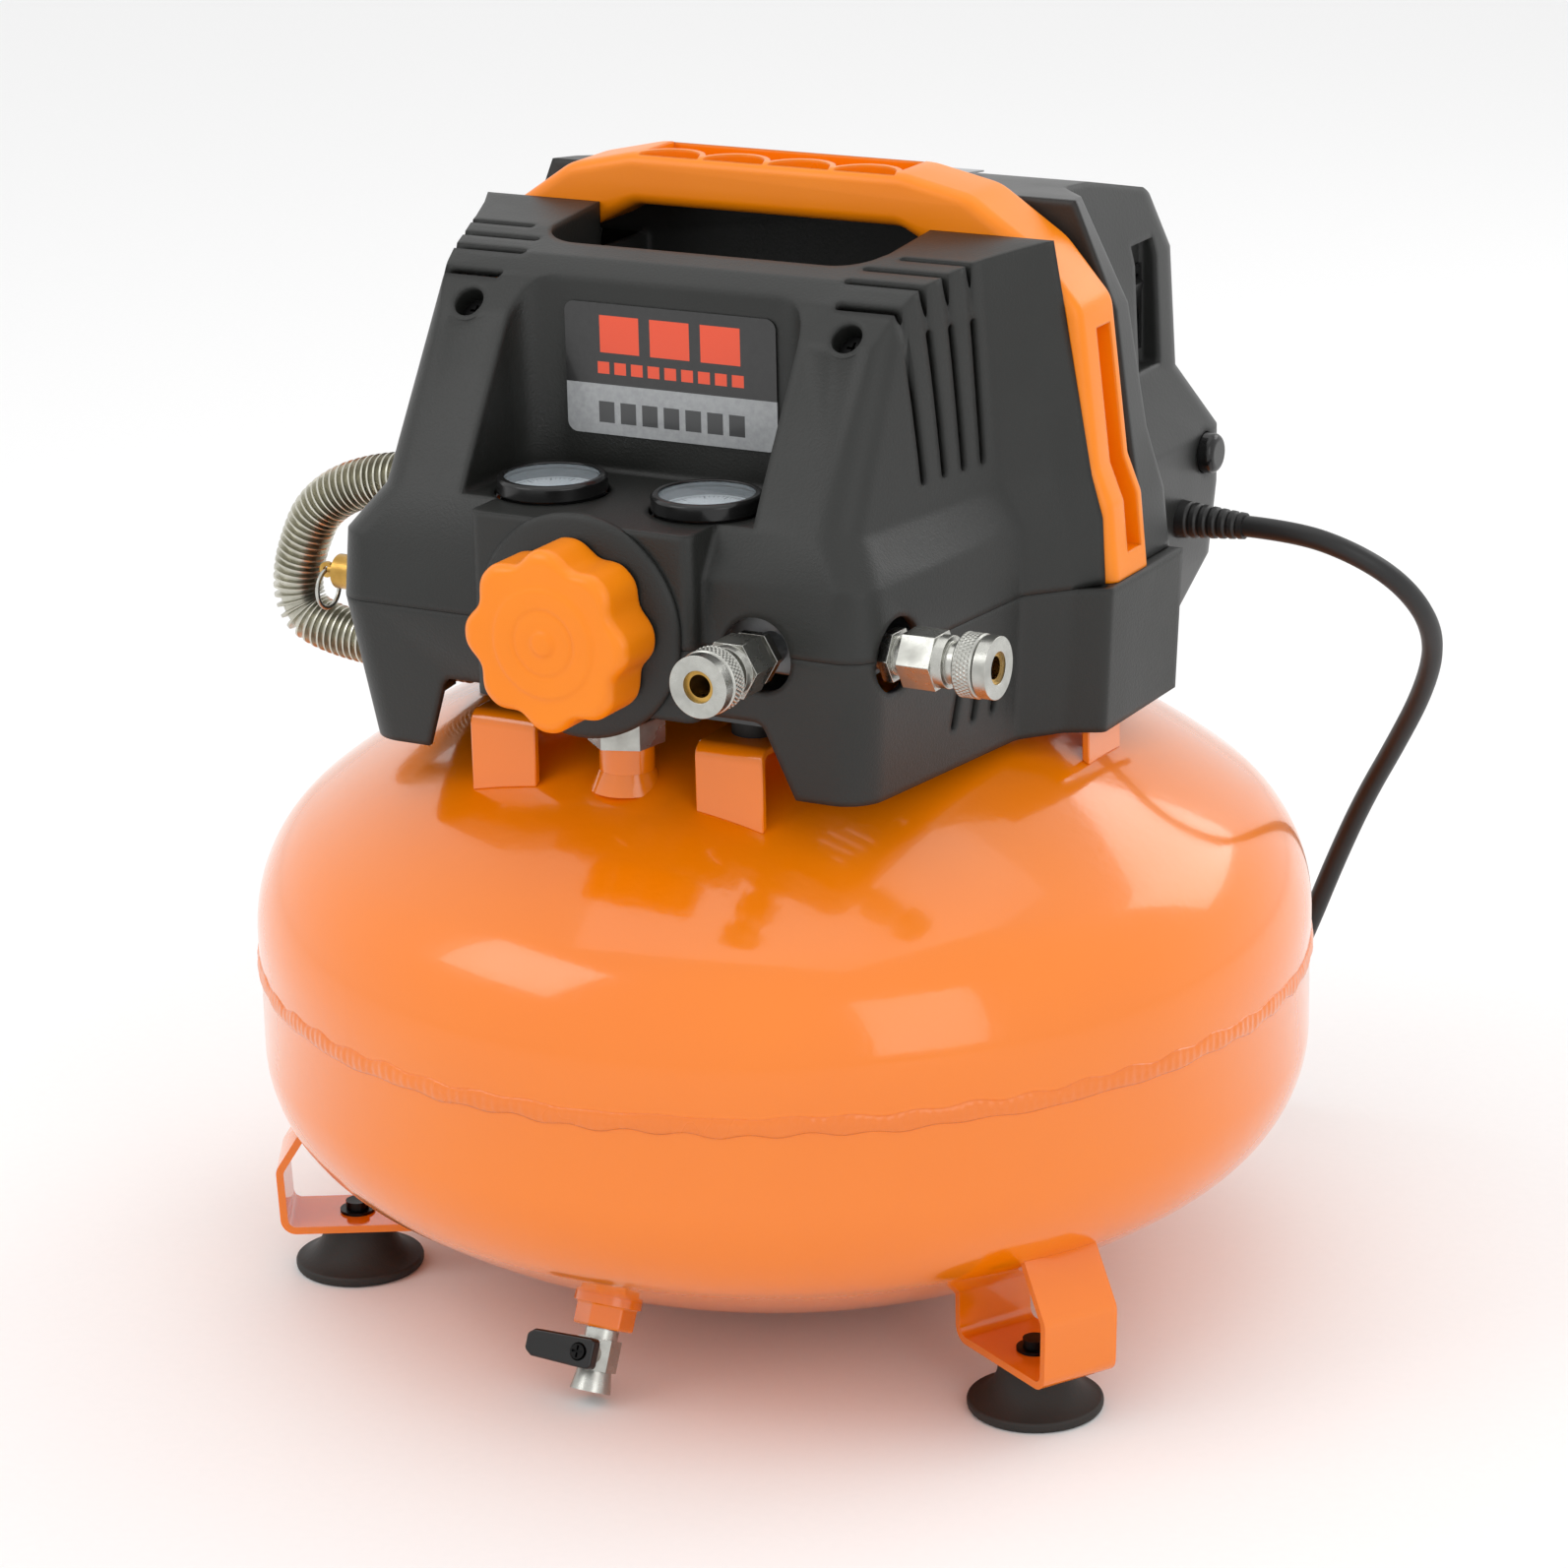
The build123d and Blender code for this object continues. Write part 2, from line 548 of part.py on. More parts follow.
# -------------------------------------------------------------------- gauges
GAUGE_RADIUS = 20.5
gauge_spots = [(-GAUGE_X, GAUGE_Y), (GAUGE_X, GAUGE_Y)]
with BuildPart() as gauge_cases:
    with BuildSketch(Plane.XZ):
        with BuildLine():
            Polyline((0, GAUGE_STEM), (18.6, GAUGE_STEM), (19.4, GAUGE_STEM + 0.8), (19.4, GAUGE_TOP - 6),
                     (GAUGE_RADIUS, GAUGE_TOP - 6), (GAUGE_RADIUS, GAUGE_TOP - 1),
                     (GAUGE_RADIUS - 1, GAUGE_TOP), (17.6, GAUGE_TOP), (17.6, GAUGE_TOP - 0.8),
                     (18.4, GAUGE_TOP - 0.8), (18.4, GAUGE_TOP - 2.4), (17.6, GAUGE_TOP - 2.4),
                     (17.6, GAUGE_TOP - 12), (0, GAUGE_TOP - 12), (0, GAUGE_STEM))
        make_face()
    revolve(axis=Axis.Z)
case = gauge_cases.part
save(Compound(children=[Pos(x, y, 0) * case for x, y in gauge_spots]), "gauge_cases")

with BuildPart() as gauge_dials:
    with Locations(*[(x, y, GAUGE_TOP - 12) for x, y in gauge_spots]):
        Cylinder(17.5, 3, align=(Align.CENTER, Align.CENTER, Align.MIN))
        Cylinder(1.5, 6, align=(Align.CENTER, Align.CENTER, Align.MIN))
save(gauge_dials.part, "gauge_dials")

with BuildPart() as gauge_lenses:
    with Locations(*[(x, y, GAUGE_TOP - 2.4) for x, y in gauge_spots]):
        Cylinder(18.35, 1.6, align=(Align.CENTER, Align.CENTER, Align.MIN))
save(gauge_lenses.part, "gauge_lenses")

for place, (x, y) in zip(("left", "right"), gauge_spots):
    with BuildPart() as needle:
        with BuildSketch(Plane.XY.offset(GAUGE_TOP - 8.2)):
            with Locations((x, y)):
                Circle(2.6)
                with Locations((-5.5, 0)):
                    Rectangle(17, 0.9)
                Circle(1.55, mode=Mode.SUBTRACT)
        extrude(amount=0.8)
    save(needle.part, f"gauge_needle_{place}")


# ------------------------------------------------------------------ mouldings
def offset_points(points, distance):
    """A closed outline moved outwards by distance, with mitred corners (negative moves it in)."""
    moved = []
    count = len(points)
    turning = sum(points[i][0] * points[(i + 1) % count][1] - points[(i + 1) % count][0] * points[i][1]
                  for i in range(count))
    side = 1 if turning > 0 else -1
    for i in range(count):
        before, here, after = (Vector(*points[(i + k) % count]) for k in (-1, 0, 1))
        into, out = (here - before).normalized(), (after - here).normalized()
        bisector = Vector(into.Y + out.Y, -into.X - out.X) * side
        reach = distance / max(0.5 * bisector.length, 0.3)
        corner = here + bisector.normalized() * reach
        moved.append((corner.X, corner.Y))
    return moved


def moulding(levels, radii, grow=0.0):
    """A ruled solid through half outlines at several heights, all with the same corner radii.

    levels is a list of (z, points), where points are the +X half from front to back.
    """
    with BuildPart() as solid:
        for z, half in levels:
            corners = offset_points(mirrored(half), grow)
            rounding = [max(r + grow, 0.6) if r else 0 for r in radii + radii[::-1]]
            with BuildSketch(Plane.XY.offset(z)):
                with BuildLine():
                    FilletPolyline(*corners, radius=rounding, close=True)
                make_face()
        loft(ruled=True)
    return solid.part


def above(points, reach=200.0, lift=0.0):
    """Everything above a line of (y, z) points, which trims the top of a moulding."""
    with BuildPart() as block:
        with BuildSketch(Plane.YZ):
            with BuildLine():
                shifted = [(y, z + lift) for y, z in points]
                Polyline((shifted[0][0], 600), *shifted, (shifted[-1][0], 600), close=True)
            make_face()
        extrude(amount=reach, both=True)
    return block.part


UPPER_LEVELS = [
    (PARTING_Z, [(112, -138.5), (121, -32), (134, -17), (142, -5)]),
    (322.0, [(110.5, -137), (120, -32), (133, -17), (141, -5)]),
    (338.0, [(98, -127), (112.5, -34), (127, -18), (136.5, -5)]),
    (430.0, [(92, -74), (107, -36), (114, -18), (120.5, -5)]),
]
UPPER_RADII = [15, 8, 8, 0]
UPPER_CROWN_LINE = [(20, 424.5), (-5, 424.5), (-42, 421.5), (-66, 417), (-79, 410.5), (-90, 399), (-160, 285)]
SCOOP_HALF, SCOOP_BACK = 61.0, -76.0
NOTCH_HALF, NOTCH_FRONT, NOTCH_FLOOR = 71.0, -54.0, 374.0
COUPLER_HOLE = 14.0


def pocket(half_width, front, back, low, high, corner, grow=0.0):
    """An upright block with rounded corners, used for the scoop and the hand opening."""
    with BuildPart() as block:
        with BuildSketch(Plane.XY.offset(low - grow)):
            with Locations((0, (front + back) / 2)):
                RectangleRounded(2 * (half_width + grow), back - front + 2 * grow, corner + grow)
        extrude(amount=high - low + grow)
    return block.part


scoop = {"half_width": SCOOP_HALF, "front": -190.0, "back": SCOOP_BACK, "low": SHELF_Z, "high": 440.0,
         "corner": 16.0}
notch = {"half_width": NOTCH_HALF, "front": NOTCH_FRONT, "back": 60.0, "low": NOTCH_FLOOR, "high": 450.0,
         "corner": 18.0}

with BuildPart() as front_panel:            # raised centre panel, cut later at the parting line
    with BuildSketch(Plane.XY.offset(268)):
        with Locations((0, (PANEL_Y - 120) / 2)):
            Rectangle(2 * PANEL_HALF, -PANEL_Y - 120)
    extrude(amount=SHELF_Z - 268)
    fillet(front_panel.edges().filter_by(Axis.Z).sort_by(Axis.Y)[:2], 4)
with BuildPart() as front_panel_hollow:
    with BuildSketch(Plane.XY.offset(260)):
        with Locations((0, (PANEL_Y - 100) / 2 + SKIN)):
            Rectangle(2 * (PANEL_HALF - SKIN), -PANEL_Y - 100)
    extrude(amount=SHELF_Z - SKIN - 260)



def drilled(plane, radius, depth=16.0):
    """A drill for round openings: a cylinder through the plane's origin, both ways."""
    with BuildPart() as drill:
        with BuildSketch(plane):
            Circle(radius)
        extrude(amount=depth, both=True)
    return drill.part


TUBE_Y, TUBE_TOP, TUBE_LOW, TUBE_RADIUS = -45.0, 320.0, 248.0, 10.0
OPENINGS = [
    drilled(front_coupler_plane, COUPLER_HOLE),
    drilled(side_coupler_plane, COUPLER_HOLE),
    drilled(regulator_plane.offset(-PANEL_Y + MANIFOLD["y"][0]), 11.6, 6),
    drilled(Plane(origin=(-112, SAFETY_Y, SAFETY_Z), z_dir=(-1, 0, 0)), 8.8),
    drilled(Plane(origin=(-120, TUBE_Y, TUBE_TOP), z_dir=(-1, 0, 0)), TUBE_RADIUS + 2),
]
GAUGE_HOLES = [drilled(Plane(origin=(x, y, SHELF_Z)), GAUGE_RADIUS + 0.9, 8) for x, y in gauge_spots]
TOP_SLOTS = [(-42.2, 77.5, 106), (-53.9, 68.4, 103), (-65.5, 67, 100), (-78, 70, 96.5)]   # y, inner x, outer x
SLOT_WIDTH = 3.8
SIDE_SLOT_Z = (348.0, 402.0)
SCREW_SPOT = (79.3, -89.3, 403.3)
with BuildPart() as front_room:
    inner_levels = [(z, half[:-1] + [(half[-1][0] + 2, 4)]) for z, half in UPPER_LEVELS]
    inner_levels[0] = (PARTING_Z - 8, inner_levels[0][1])
    add(moulding(inner_levels, UPPER_RADII, grow=-SKIN))
    add(above(UPPER_CROWN_LINE, lift=-SKIN), mode=Mode.SUBTRACT)
    add(front_panel_hollow.part)
    add(pocket(**scoop, grow=SKIN), mode=Mode.SUBTRACT)
    add(pocket(**notch, grow=SKIN), mode=Mode.SUBTRACT)

with BuildPart() as front_shroud:
    add(moulding(UPPER_LEVELS, UPPER_RADII))
    add(above(UPPER_CROWN_LINE), mode=Mode.SUBTRACT)
    add(front_panel.part)
    add(pocket(**scoop), mode=Mode.SUBTRACT)
    add(pocket(**notch), mode=Mode.SUBTRACT)
    add(front_room.part, mode=Mode.SUBTRACT)
    with BuildSketch(Plane.XY.offset(PARTING_Z)):
        Rectangle(500, 500)
    extrude(amount=-60, mode=Mode.SUBTRACT)
    for opening in OPENINGS + GAUGE_HOLES:
        add(opening, mode=Mode.SUBTRACT)
    for turn in (1, -1):
        for y, inner, outer in TOP_SLOTS:
            with BuildSketch(Plane.XY.offset(400)):
                with Locations((turn * (inner + outer) / 2, y)):
                    SlotOverall(outer - inner, SLOT_WIDTH)
            extrude(amount=30, mode=Mode.SUBTRACT)
            with BuildSketch(Plane.YZ.offset(turn * 98)):
                with Locations((y, sum(SIDE_SLOT_Z) / 2)):
                    SlotOverall(SIDE_SLOT_Z[1] - SIDE_SLOT_Z[0], SLOT_WIDTH, rotation=90)
            extrude(amount=turn * 30, mode=Mode.SUBTRACT)
        well = Plane(origin=(turn * SCREW_SPOT[0], SCREW_SPOT[1], SCREW_SPOT[2]), z_dir=(0, -0.7, 0.7))
        with BuildSketch(well.offset(-16)):
            Circle(8)
        extrude(amount=13)
        with BuildSketch(well.offset(-12)):
            Circle(6)
        extrude(amount=30, mode=Mode.SUBTRACT)
        with BuildSketch(well.offset(-18)):
            Circle(2)
        extrude(amount=10, mode=Mode.SUBTRACT)
save(front_shroud.part, "front_shroud")

with BuildPart() as shroud_screws:
    for turn in (1, -1):
        well = Plane(origin=(turn * SCREW_SPOT[0], SCREW_SPOT[1], SCREW_SPOT[2]), z_dir=(0, -0.7, 0.7))
        with BuildSketch(well.offset(-12)):
            Circle(4.6)
        extrude(amount=3)
        with BuildSketch(well.offset(-20)):
            Circle(2)
        extrude(amount=8)
        with BuildSketch(well.offset(-10.6)):
            Rectangle(5, 1)
            Rectangle(1, 5)
        extrude(amount=4, mode=Mode.SUBTRACT)
save(shroud_screws.part, "shroud_screws")


LOWER_LEVELS = [
    (241.0, [(105, -130), (118, -32), (130, -17), (144, -10), (144, 54)]),
    (PARTING_Z - 0.2, [(112, -138.5), (121, -32), (134, -17), (147, -10), (147, 54)]),
]
LOWER_RADII = [15, 8, 8, 3, 0]
with BuildPart() as lower_room:
    inner_levels = [(LOWER_LEVELS[0][0] - 5, LOWER_LEVELS[0][1][:-1] + [(144, 62)]),
                    (PARTING_Z + 5, LOWER_LEVELS[1][1][:-1] + [(147, 62)])]
    add(moulding(inner_levels, LOWER_RADII, grow=-SKIN))
    add(front_panel_hollow.part)

with BuildPart() as lower_shroud:
    add(moulding(LOWER_LEVELS, LOWER_RADII))
    add(front_panel.part)
    add(lower_room.part, mode=Mode.SUBTRACT)
    for turn in (1, -1):                     # ledges that carry the handle's feet
        with Locations((turn * 130, 24, PARTING_Z - 0.2 - SKIN / 2)):
            Box(29, 60, SKIN)
    with BuildSketch(Plane.XY.offset(PARTING_Z - 0.2)):
        Rectangle(500, 500)
    extrude(amount=60, mode=Mode.SUBTRACT)
    with BuildSketch(Plane.XZ.offset(90)):   # opening above the brackets and the tank outlet
        with BuildLine():
            FilletPolyline((-82, 230), (-67, 270), (67, 270), (82, 230), radius=5, close=True)
        make_face()
    extrude(amount=80, mode=Mode.SUBTRACT)
    for opening in OPENINGS:
        add(opening, mode=Mode.SUBTRACT)
    with Locations((-122, TUBE_Y, 240)):     # the finned tube comes back in under the edge
        Box(30, 2 * TUBE_RADIUS + 5, 44, mode=Mode.SUBTRACT)
    for turn in (1, -1):
        for y in (-74, -61, -48):
            with BuildSketch(Plane.YZ.offset(turn * 106)):
                with Locations((y, 264)):
                    SlotOverall(15, SLOT_WIDTH, rotation=80)
            extrude(amount=turn * 25, mode=Mode.SUBTRACT)
save(lower_shroud.part, "lower_shroud")

REAR_LEVELS = [
    (297.2, [(141.5, 30.5), (141.5, 54), (119, 84), (119, REAR_Y)]),
    (320.0, [(139.5, 30.5), (139, 54), (119, 82), (119, REAR_Y)]),
    (344.0, [(136, 30.5), (134, 50), (104, 76), (104, 158)]),
    (392.0, [(130, 30.5), (128, 46), (102, 70), (102, 157)]),
    (440.0, [(110, 30.5), (106, 42), (90, 62), (90, 140)]),
]
REAR_RADII = [0, 6, 14, 20]
REAR_FOOT_LEVELS = [
    (236.0, [(106, 54.8), (105, 145)]),
    (268.0, [(117, 54.8), (117, 162)]),
    (297.2, [(119, 54.8), (119, REAR_Y)]),
]
REAR_CROWN_LINE = [(20, 432), (32, 432), (85, 428), (130, 418), (148, 409), (180, 380)]
RECESS = {"y": (108, 128), "z": (349, 399), "floor": 95.0}     # pocket around the power switch
SWITCH_Y, SWITCH_Z = 118.0, 372.0
BUTTON_Y, BUTTON_Z = 138.0, 312.0
CORD_Y, CORD_Z = 116.0, 290.0
WALL_X = 119.0
(recess_y, recess_w), (recess_z, recess_h) = span(RECESS["y"]), span(RECESS["z"])
TONGUE_LEVELS = [
    (297.2, [(116, -4), (116, 34)]),
    (345.0, [(112, -4), (112, 34)]),
    (406.0, [(96, -4), (96, 34)]),
]
def notch_block(floor, half_width, front, back):
    """The upright block that clears the hand opening out of the rear cover."""
    with BuildPart() as block:
        with BuildSketch(Plane.XY.offset(floor)):
            with Locations((0, (front + back) / 2)):
                Rectangle(2 * half_width, back - front)
        extrude(amount=80)
    return block.part


with BuildPart() as rear_room:
    add(moulding(REAR_LEVELS, REAR_RADII, grow=-SKIN))
    add(above(REAR_CROWN_LINE, lift=-SKIN), mode=Mode.SUBTRACT)
    foot_levels = [(REAR_FOOT_LEVELS[0][0] - 3, [(106, 40), (105, 145)])]
    foot_levels += [(z, [(half[0][0], 40), half[1]]) for z, half in REAR_FOOT_LEVELS[1:]]
    foot_levels += [(310.0, [(119, 40), (119, REAR_Y)])]
    add(moulding(foot_levels, [0, 20], grow=-SKIN))
    tongue = [(z, [(half[0][0], -12), (half[1][0], 60)]) for z, half in TONGUE_LEVELS]
    tongue[0] = (280.0, tongue[0][1])
    add(moulding(tongue, [0, 0], grow=-SKIN))
    add(notch_block(NOTCH_FLOOR - SKIN, NOTCH_HALF + SKIN, -25.5, 33.5), mode=Mode.SUBTRACT)
    with Locations((RECESS["floor"] + 20 - SKIN, recess_y, recess_z)):
        Box(40, recess_w + 2 * SKIN, recess_h + 2 * SKIN, mode=Mode.SUBTRACT)

with BuildPart() as rear_cover:
    add(moulding(REAR_LEVELS, REAR_RADII))
    add(above(REAR_CROWN_LINE), mode=Mode.SUBTRACT)
    add(moulding(REAR_FOOT_LEVELS, [0, 20]))
    add(moulding(TONGUE_LEVELS, [0, 0]))
    add(notch_block(NOTCH_FLOOR, NOTCH_HALF, -10.5, 30.5), mode=Mode.SUBTRACT)
    add(rear_room.part, mode=Mode.SUBTRACT)
    with Locations((RECESS["floor"] + 20, recess_y, recess_z)):
        Box(40, recess_w, recess_h, mode=Mode.SUBTRACT)
    with Locations((RECESS["floor"], SWITCH_Y, SWITCH_Z)):
        Box(20, 13.4, 30.4, mode=Mode.SUBTRACT)
    add(drilled(Plane(origin=(WALL_X, BUTTON_Y, BUTTON_Z), z_dir=(1, 0, 0)), 8.4), mode=Mode.SUBTRACT)
    add(drilled(Plane(origin=(WALL_X, CORD_Y, CORD_Z), z_dir=(1, 0, 0)), 6.5), mode=Mode.SUBTRACT)
    for i in range(-6, 7):                   # air inlet slots across the back
        with BuildSketch(Plane.XZ.offset(-REAR_Y - 10)):
            with Locations((i * 11, 330)):
                SlotOverall(110 - 2.2 * i * i, 4.5, rotation=90)
        extrude(amount=26, mode=Mode.SUBTRACT)
save(rear_cover.part, "rear_cover")


# -------------------------------------------------------------------- handle
HANDLE_OUTER = [(58, 444), (86, 438), (113, 420), (131, 399), (137.5, 340), (143, 326), (145.5, PARTING_Z)]
HANDLE_INNER = [(118.5, PARTING_Z), (114, 345), (98.5, 410), (74, 415), (57, 424)]
HANDLE_OUTER_RADII = [30, 20, 25, 12, 6, 6, 0]
HANDLE_INNER_RADII = [0, 20, 5, 6, 12]
handle_middle = (HANDLE_FRONT + HANDLE_BACK) / 2
handle_depth = HANDLE_BACK - HANDLE_FRONT
POCKET_DEPTH, RIB = 11.0, 2.2
HANDLE_ROUNDING = 5.0
with BuildPart() as carry_handle:
    with BuildSketch(Plane.XZ.offset(-handle_middle)):
        with BuildLine():
            half = HANDLE_OUTER + HANDLE_INNER
            rounding = HANDLE_OUTER_RADII + HANDLE_INNER_RADII
            FilletPolyline(*half, *[(-x, z) for x, z in reversed(half)], radius=rounding + rounding[::-1],
                           close=True)
        make_face()
    extrude(amount=handle_depth / 2, both=True)
    fillet(carry_handle.edges().filter_by(lambda edge: abs(edge.tangent_at(0.5).Y) < 0.3
                                          and edge.center().Z > PARTING_Z + 3), HANDLE_ROUNDING)
    cell = 28.0
    with BuildSketch(Plane.XY.offset(444 - POCKET_DEPTH)):
        with Locations((0, handle_middle)):
            Rectangle(4 * cell - RIB, handle_depth - 5)
        with Locations(*[((i - 1.5) * cell, HANDLE_FRONT + 1) for i in range(4)]):
            Circle(cell / 2 + RIB / 2, mode=Mode.SUBTRACT)
            Circle(cell / 2 - RIB / 2)
        with Locations((0, HANDLE_FRONT - 20 + 2.5)):
            Rectangle(200, 40, mode=Mode.SUBTRACT)
    extrude(amount=POCKET_DEPTH + 10, mode=Mode.SUBTRACT)
    for turn in (1, -1):                     # grooves down the outside of both legs
        with BuildSketch(Plane.YZ.offset(turn * 124)):
            with Locations((handle_middle + 3, 348)):
                Rectangle(12, 84)
        extrude(amount=turn * 40, mode=Mode.SUBTRACT)
save(carry_handle.part, "carry_handle")


# ------------------------------------------------- switch, button and gland
KEY_RADIUS = 13.0
KEY_X = 91.0
with BuildPart() as switch_housing:
    with Locations((RECESS["floor"] + 0.8, SWITCH_Y, SWITCH_Z)):
        Box(1.6, 16, 34)
    with Locations((RECESS["floor"] - 9, SWITCH_Y, SWITCH_Z)):
        Box(18, 13.2, 30.2)
    with BuildSketch(Plane.XZ.offset(-SWITCH_Y)):
        with Locations((KEY_X, SWITCH_Z)):
            Circle(KEY_RADIUS + 0.4)
        with Locations((KEY_X + 10, SWITCH_Z)):
            Rectangle(20, 2 * KEY_RADIUS + 0.8)
    extrude(amount=5.2, both=True, mode=Mode.SUBTRACT)
    with BuildSketch(Plane.XZ.offset(-SWITCH_Y)):
        with Locations((KEY_X, SWITCH_Z)):
            Circle(1.55)
    extrude(amount=10, both=True, mode=Mode.SUBTRACT)
save(switch_housing.part, "switch_housing")

with BuildPart() as switch_key:
    with BuildSketch(Plane.XZ.offset(-SWITCH_Y)):
        with Locations((KEY_X, SWITCH_Z)):
            Circle(KEY_RADIUS)
        Polygon((96.5, SWITCH_Z), (100.5, SWITCH_Z + 16), (120, SWITCH_Z + 16), (120, SWITCH_Z - 16),
                (93.5, SWITCH_Z - 16), align=None, mode=Mode.SUBTRACT)
        with Locations((KEY_X - 8, SWITCH_Z)):
            Rectangle(16, 30, mode=Mode.SUBTRACT)
        with Locations((KEY_X + 1, SWITCH_Z)):
            Circle(3.4)
    extrude(amount=4.8, both=True)
    with BuildSketch(Plane.XZ.offset(-SWITCH_Y)):
        with Locations((KEY_X, SWITCH_Z)):
            Circle(1.5)
    extrude(amount=6.4, both=True)
save(switch_key.part, "switch_key")

with BuildPart() as reset_button:
    with BuildSketch(Plane.YZ.offset(110)):
        with Locations((BUTTON_Y, BUTTON_Z)):
            Circle(8)
    extrude(amount=15)
    fillet(reset_button.edges().sort_by(Axis.X)[-1], 3)
    with BuildSketch(Plane.YZ.offset(108)):
        with Locations((BUTTON_Y, BUTTON_Z)):
            Circle(9.4)
    extrude(amount=2.5)
save(reset_button.part, "reset_button")

CORD_RADIUS = 4.25
RELIEF_END = 146.0
with BuildPart() as strain_relief:
    with BuildSketch(Plane.YZ.offset(111)):
        with Locations((CORD_Y, CORD_Z)):
            Circle(9)
    extrude(amount=3.6)
    with BuildSketch(Plane.YZ.offset(114)):
        with Locations((CORD_Y, CORD_Z)):
            Circle(6.4)
    extrude(amount=WALL_X - 114)
    with BuildSketch(Plane.YZ.offset(WALL_X)):
        with Locations((CORD_Y, CORD_Z)):
            Circle(7.4)
    with BuildSketch(Plane.YZ.offset(RELIEF_END)):
        with Locations((CORD_Y, CORD_Z)):
            Circle(5.2)
    loft()
save(strain_relief.part, "strain_relief")


# ---------------------------------------------------------------------- pump
CRANK_Z = 322.0
PISTON_Y = 26.0
with BuildPart() as crankcase:
    with Locations((0, 36, (PLATE_TOP + 358) / 2)):
        Box(74, 44, 358 - PLATE_TOP)
    fillet(crankcase.edges().filter_by(Axis.Y), 8)
    with Locations((0, 33, CRANK_Z)):
        Box(64, 42, 64, mode=Mode.SUBTRACT)
    with BuildSketch(Plane.XZ.offset(-70)):
        with Locations((0, CRANK_Z)):
            Circle(14)
    extrude(amount=30, mode=Mode.SUBTRACT)
    with BuildSketch(Plane.YZ.offset(-20)):
        with Locations((PISTON_Y, CRANK_Z)):
            Circle(BORE / 2)
    extrude(amount=-30, mode=Mode.SUBTRACT)
save(crankcase.part, "crankcase")

CYLINDER_X = (-84.0, -37.0)
piston_axis = Axis((0, PISTON_Y, CRANK_Z), (1, 0, 0))
with BuildPart() as cylinder:
    with BuildSketch(Plane(origin=(0, PISTON_Y, CRANK_Z), x_dir=(1, 0, 0), z_dir=(0, -1, 0))):
        with Locations((sum(CYLINDER_X) / 2, BORE / 2 + 1.75)):
            Rectangle(CYLINDER_X[1] - CYLINDER_X[0], 3.5)
        with Locations(*[(CYLINDER_X[0] + 3 + 7 * i, BORE / 2 + 3) for i in range(7)]):
            Rectangle(2, 6)
    revolve(axis=piston_axis)
save(cylinder.part, "cylinder")

HEAD_X = (-103.0, -84.0)
with BuildPart() as cylinder_head:
    with Locations(((HEAD_X[0] + HEAD_X[1]) / 2, PISTON_Y, CRANK_Z)):
        Box(HEAD_X[1] - HEAD_X[0], 72, 72)
    with Locations((HEAD_X[1] - 4, PISTON_Y - 16, CRANK_Z), (HEAD_X[1] - 4, PISTON_Y + 16, CRANK_Z)):
        Box(8, 28, 56, mode=Mode.SUBTRACT)
    with Locations(*[(HEAD_X[0], PISTON_Y, CRANK_Z - 32 + 8 * i) for i in range(9)]):
        Box(8, 72, 3, mode=Mode.SUBTRACT)
save(cylinder_head.part, "cylinder_head")

with BuildPart() as piston:
    with BuildSketch(Plane(origin=(0, PISTON_Y, CRANK_Z), x_dir=(1, 0, 0), z_dir=(0, -1, 0))):
        with BuildLine():
            Polyline((-66.4, 0), (-66.4, 25.9), (-62, 25.9), (-62, 29.7), (-54, 29.7), (-54, 27), (-60, 27),
                     (-60, 0), (-66.4, 0))
        make_face()
    revolve(axis=piston_axis)
    with Locations((-37, PISTON_Y, CRANK_Z)):
        Box(48, 9, 12)
    with BuildSketch(Plane.XZ.offset(-PISTON_Y)):
        with Locations((0, CRANK_Z)):
            Circle(15)
    extrude(amount=5.5, both=True)
    with BuildSketch(Plane.XZ.offset(-PISTON_Y)):
        with Locations((0, CRANK_Z)):
            Circle(8)
    extrude(amount=8, both=True, mode=Mode.SUBTRACT)
save(piston.part, "piston")

with BuildPart() as piston_seal:
    with BuildSketch(Plane.YZ.offset(-66)):
        with Locations((PISTON_Y, CRANK_Z)):
            Circle(BORE / 2 - 0.06)
            Circle(25.9, mode=Mode.SUBTRACT)
    extrude(amount=4)
save(piston_seal.part, "piston_seal")

ECCENTRIC_Y = (34.0, 46.0)
with BuildPart() as eccentric:
    with BuildSketch(Plane.XZ.offset(-ECCENTRIC_Y[0])):
        with Locations((0, CRANK_Z)):
            Circle(27)
            with Locations((0, 17)):
                Rectangle(60, 34, mode=Mode.SUBTRACT)
            Circle(11)
        with Locations((0, CRANK_Z + THROW)):
            Circle(10)
        with Locations((0, CRANK_Z)):
            Circle(6, mode=Mode.SUBTRACT)
    extrude(amount=-(ECCENTRIC_Y[1] - ECCENTRIC_Y[0]))
    with BuildSketch(Plane.XZ.offset(-ECCENTRIC_Y[0])):
        with Locations((0, CRANK_Z + THROW)):
            Circle(3.2)
    extrude(amount=1.4)
save(eccentric.part, "eccentric")

ROTOR_Y = (70.0, 108.0)
with BuildPart() as rotor_shaft:
    with BuildSketch(Plane.XZ.offset(-ECCENTRIC_Y[0])):
        with Locations((0, CRANK_Z)):
            Circle(6)
    extrude(amount=-(148 - ECCENTRIC_Y[0]))
    with BuildSketch(Plane.XZ.offset(-ROTOR_Y[0])):
        with Locations((0, CRANK_Z)):
            Circle(28)
    extrude(amount=-(ROTOR_Y[1] - ROTOR_Y[0]))
save(rotor_shaft.part, "rotor_shaft")

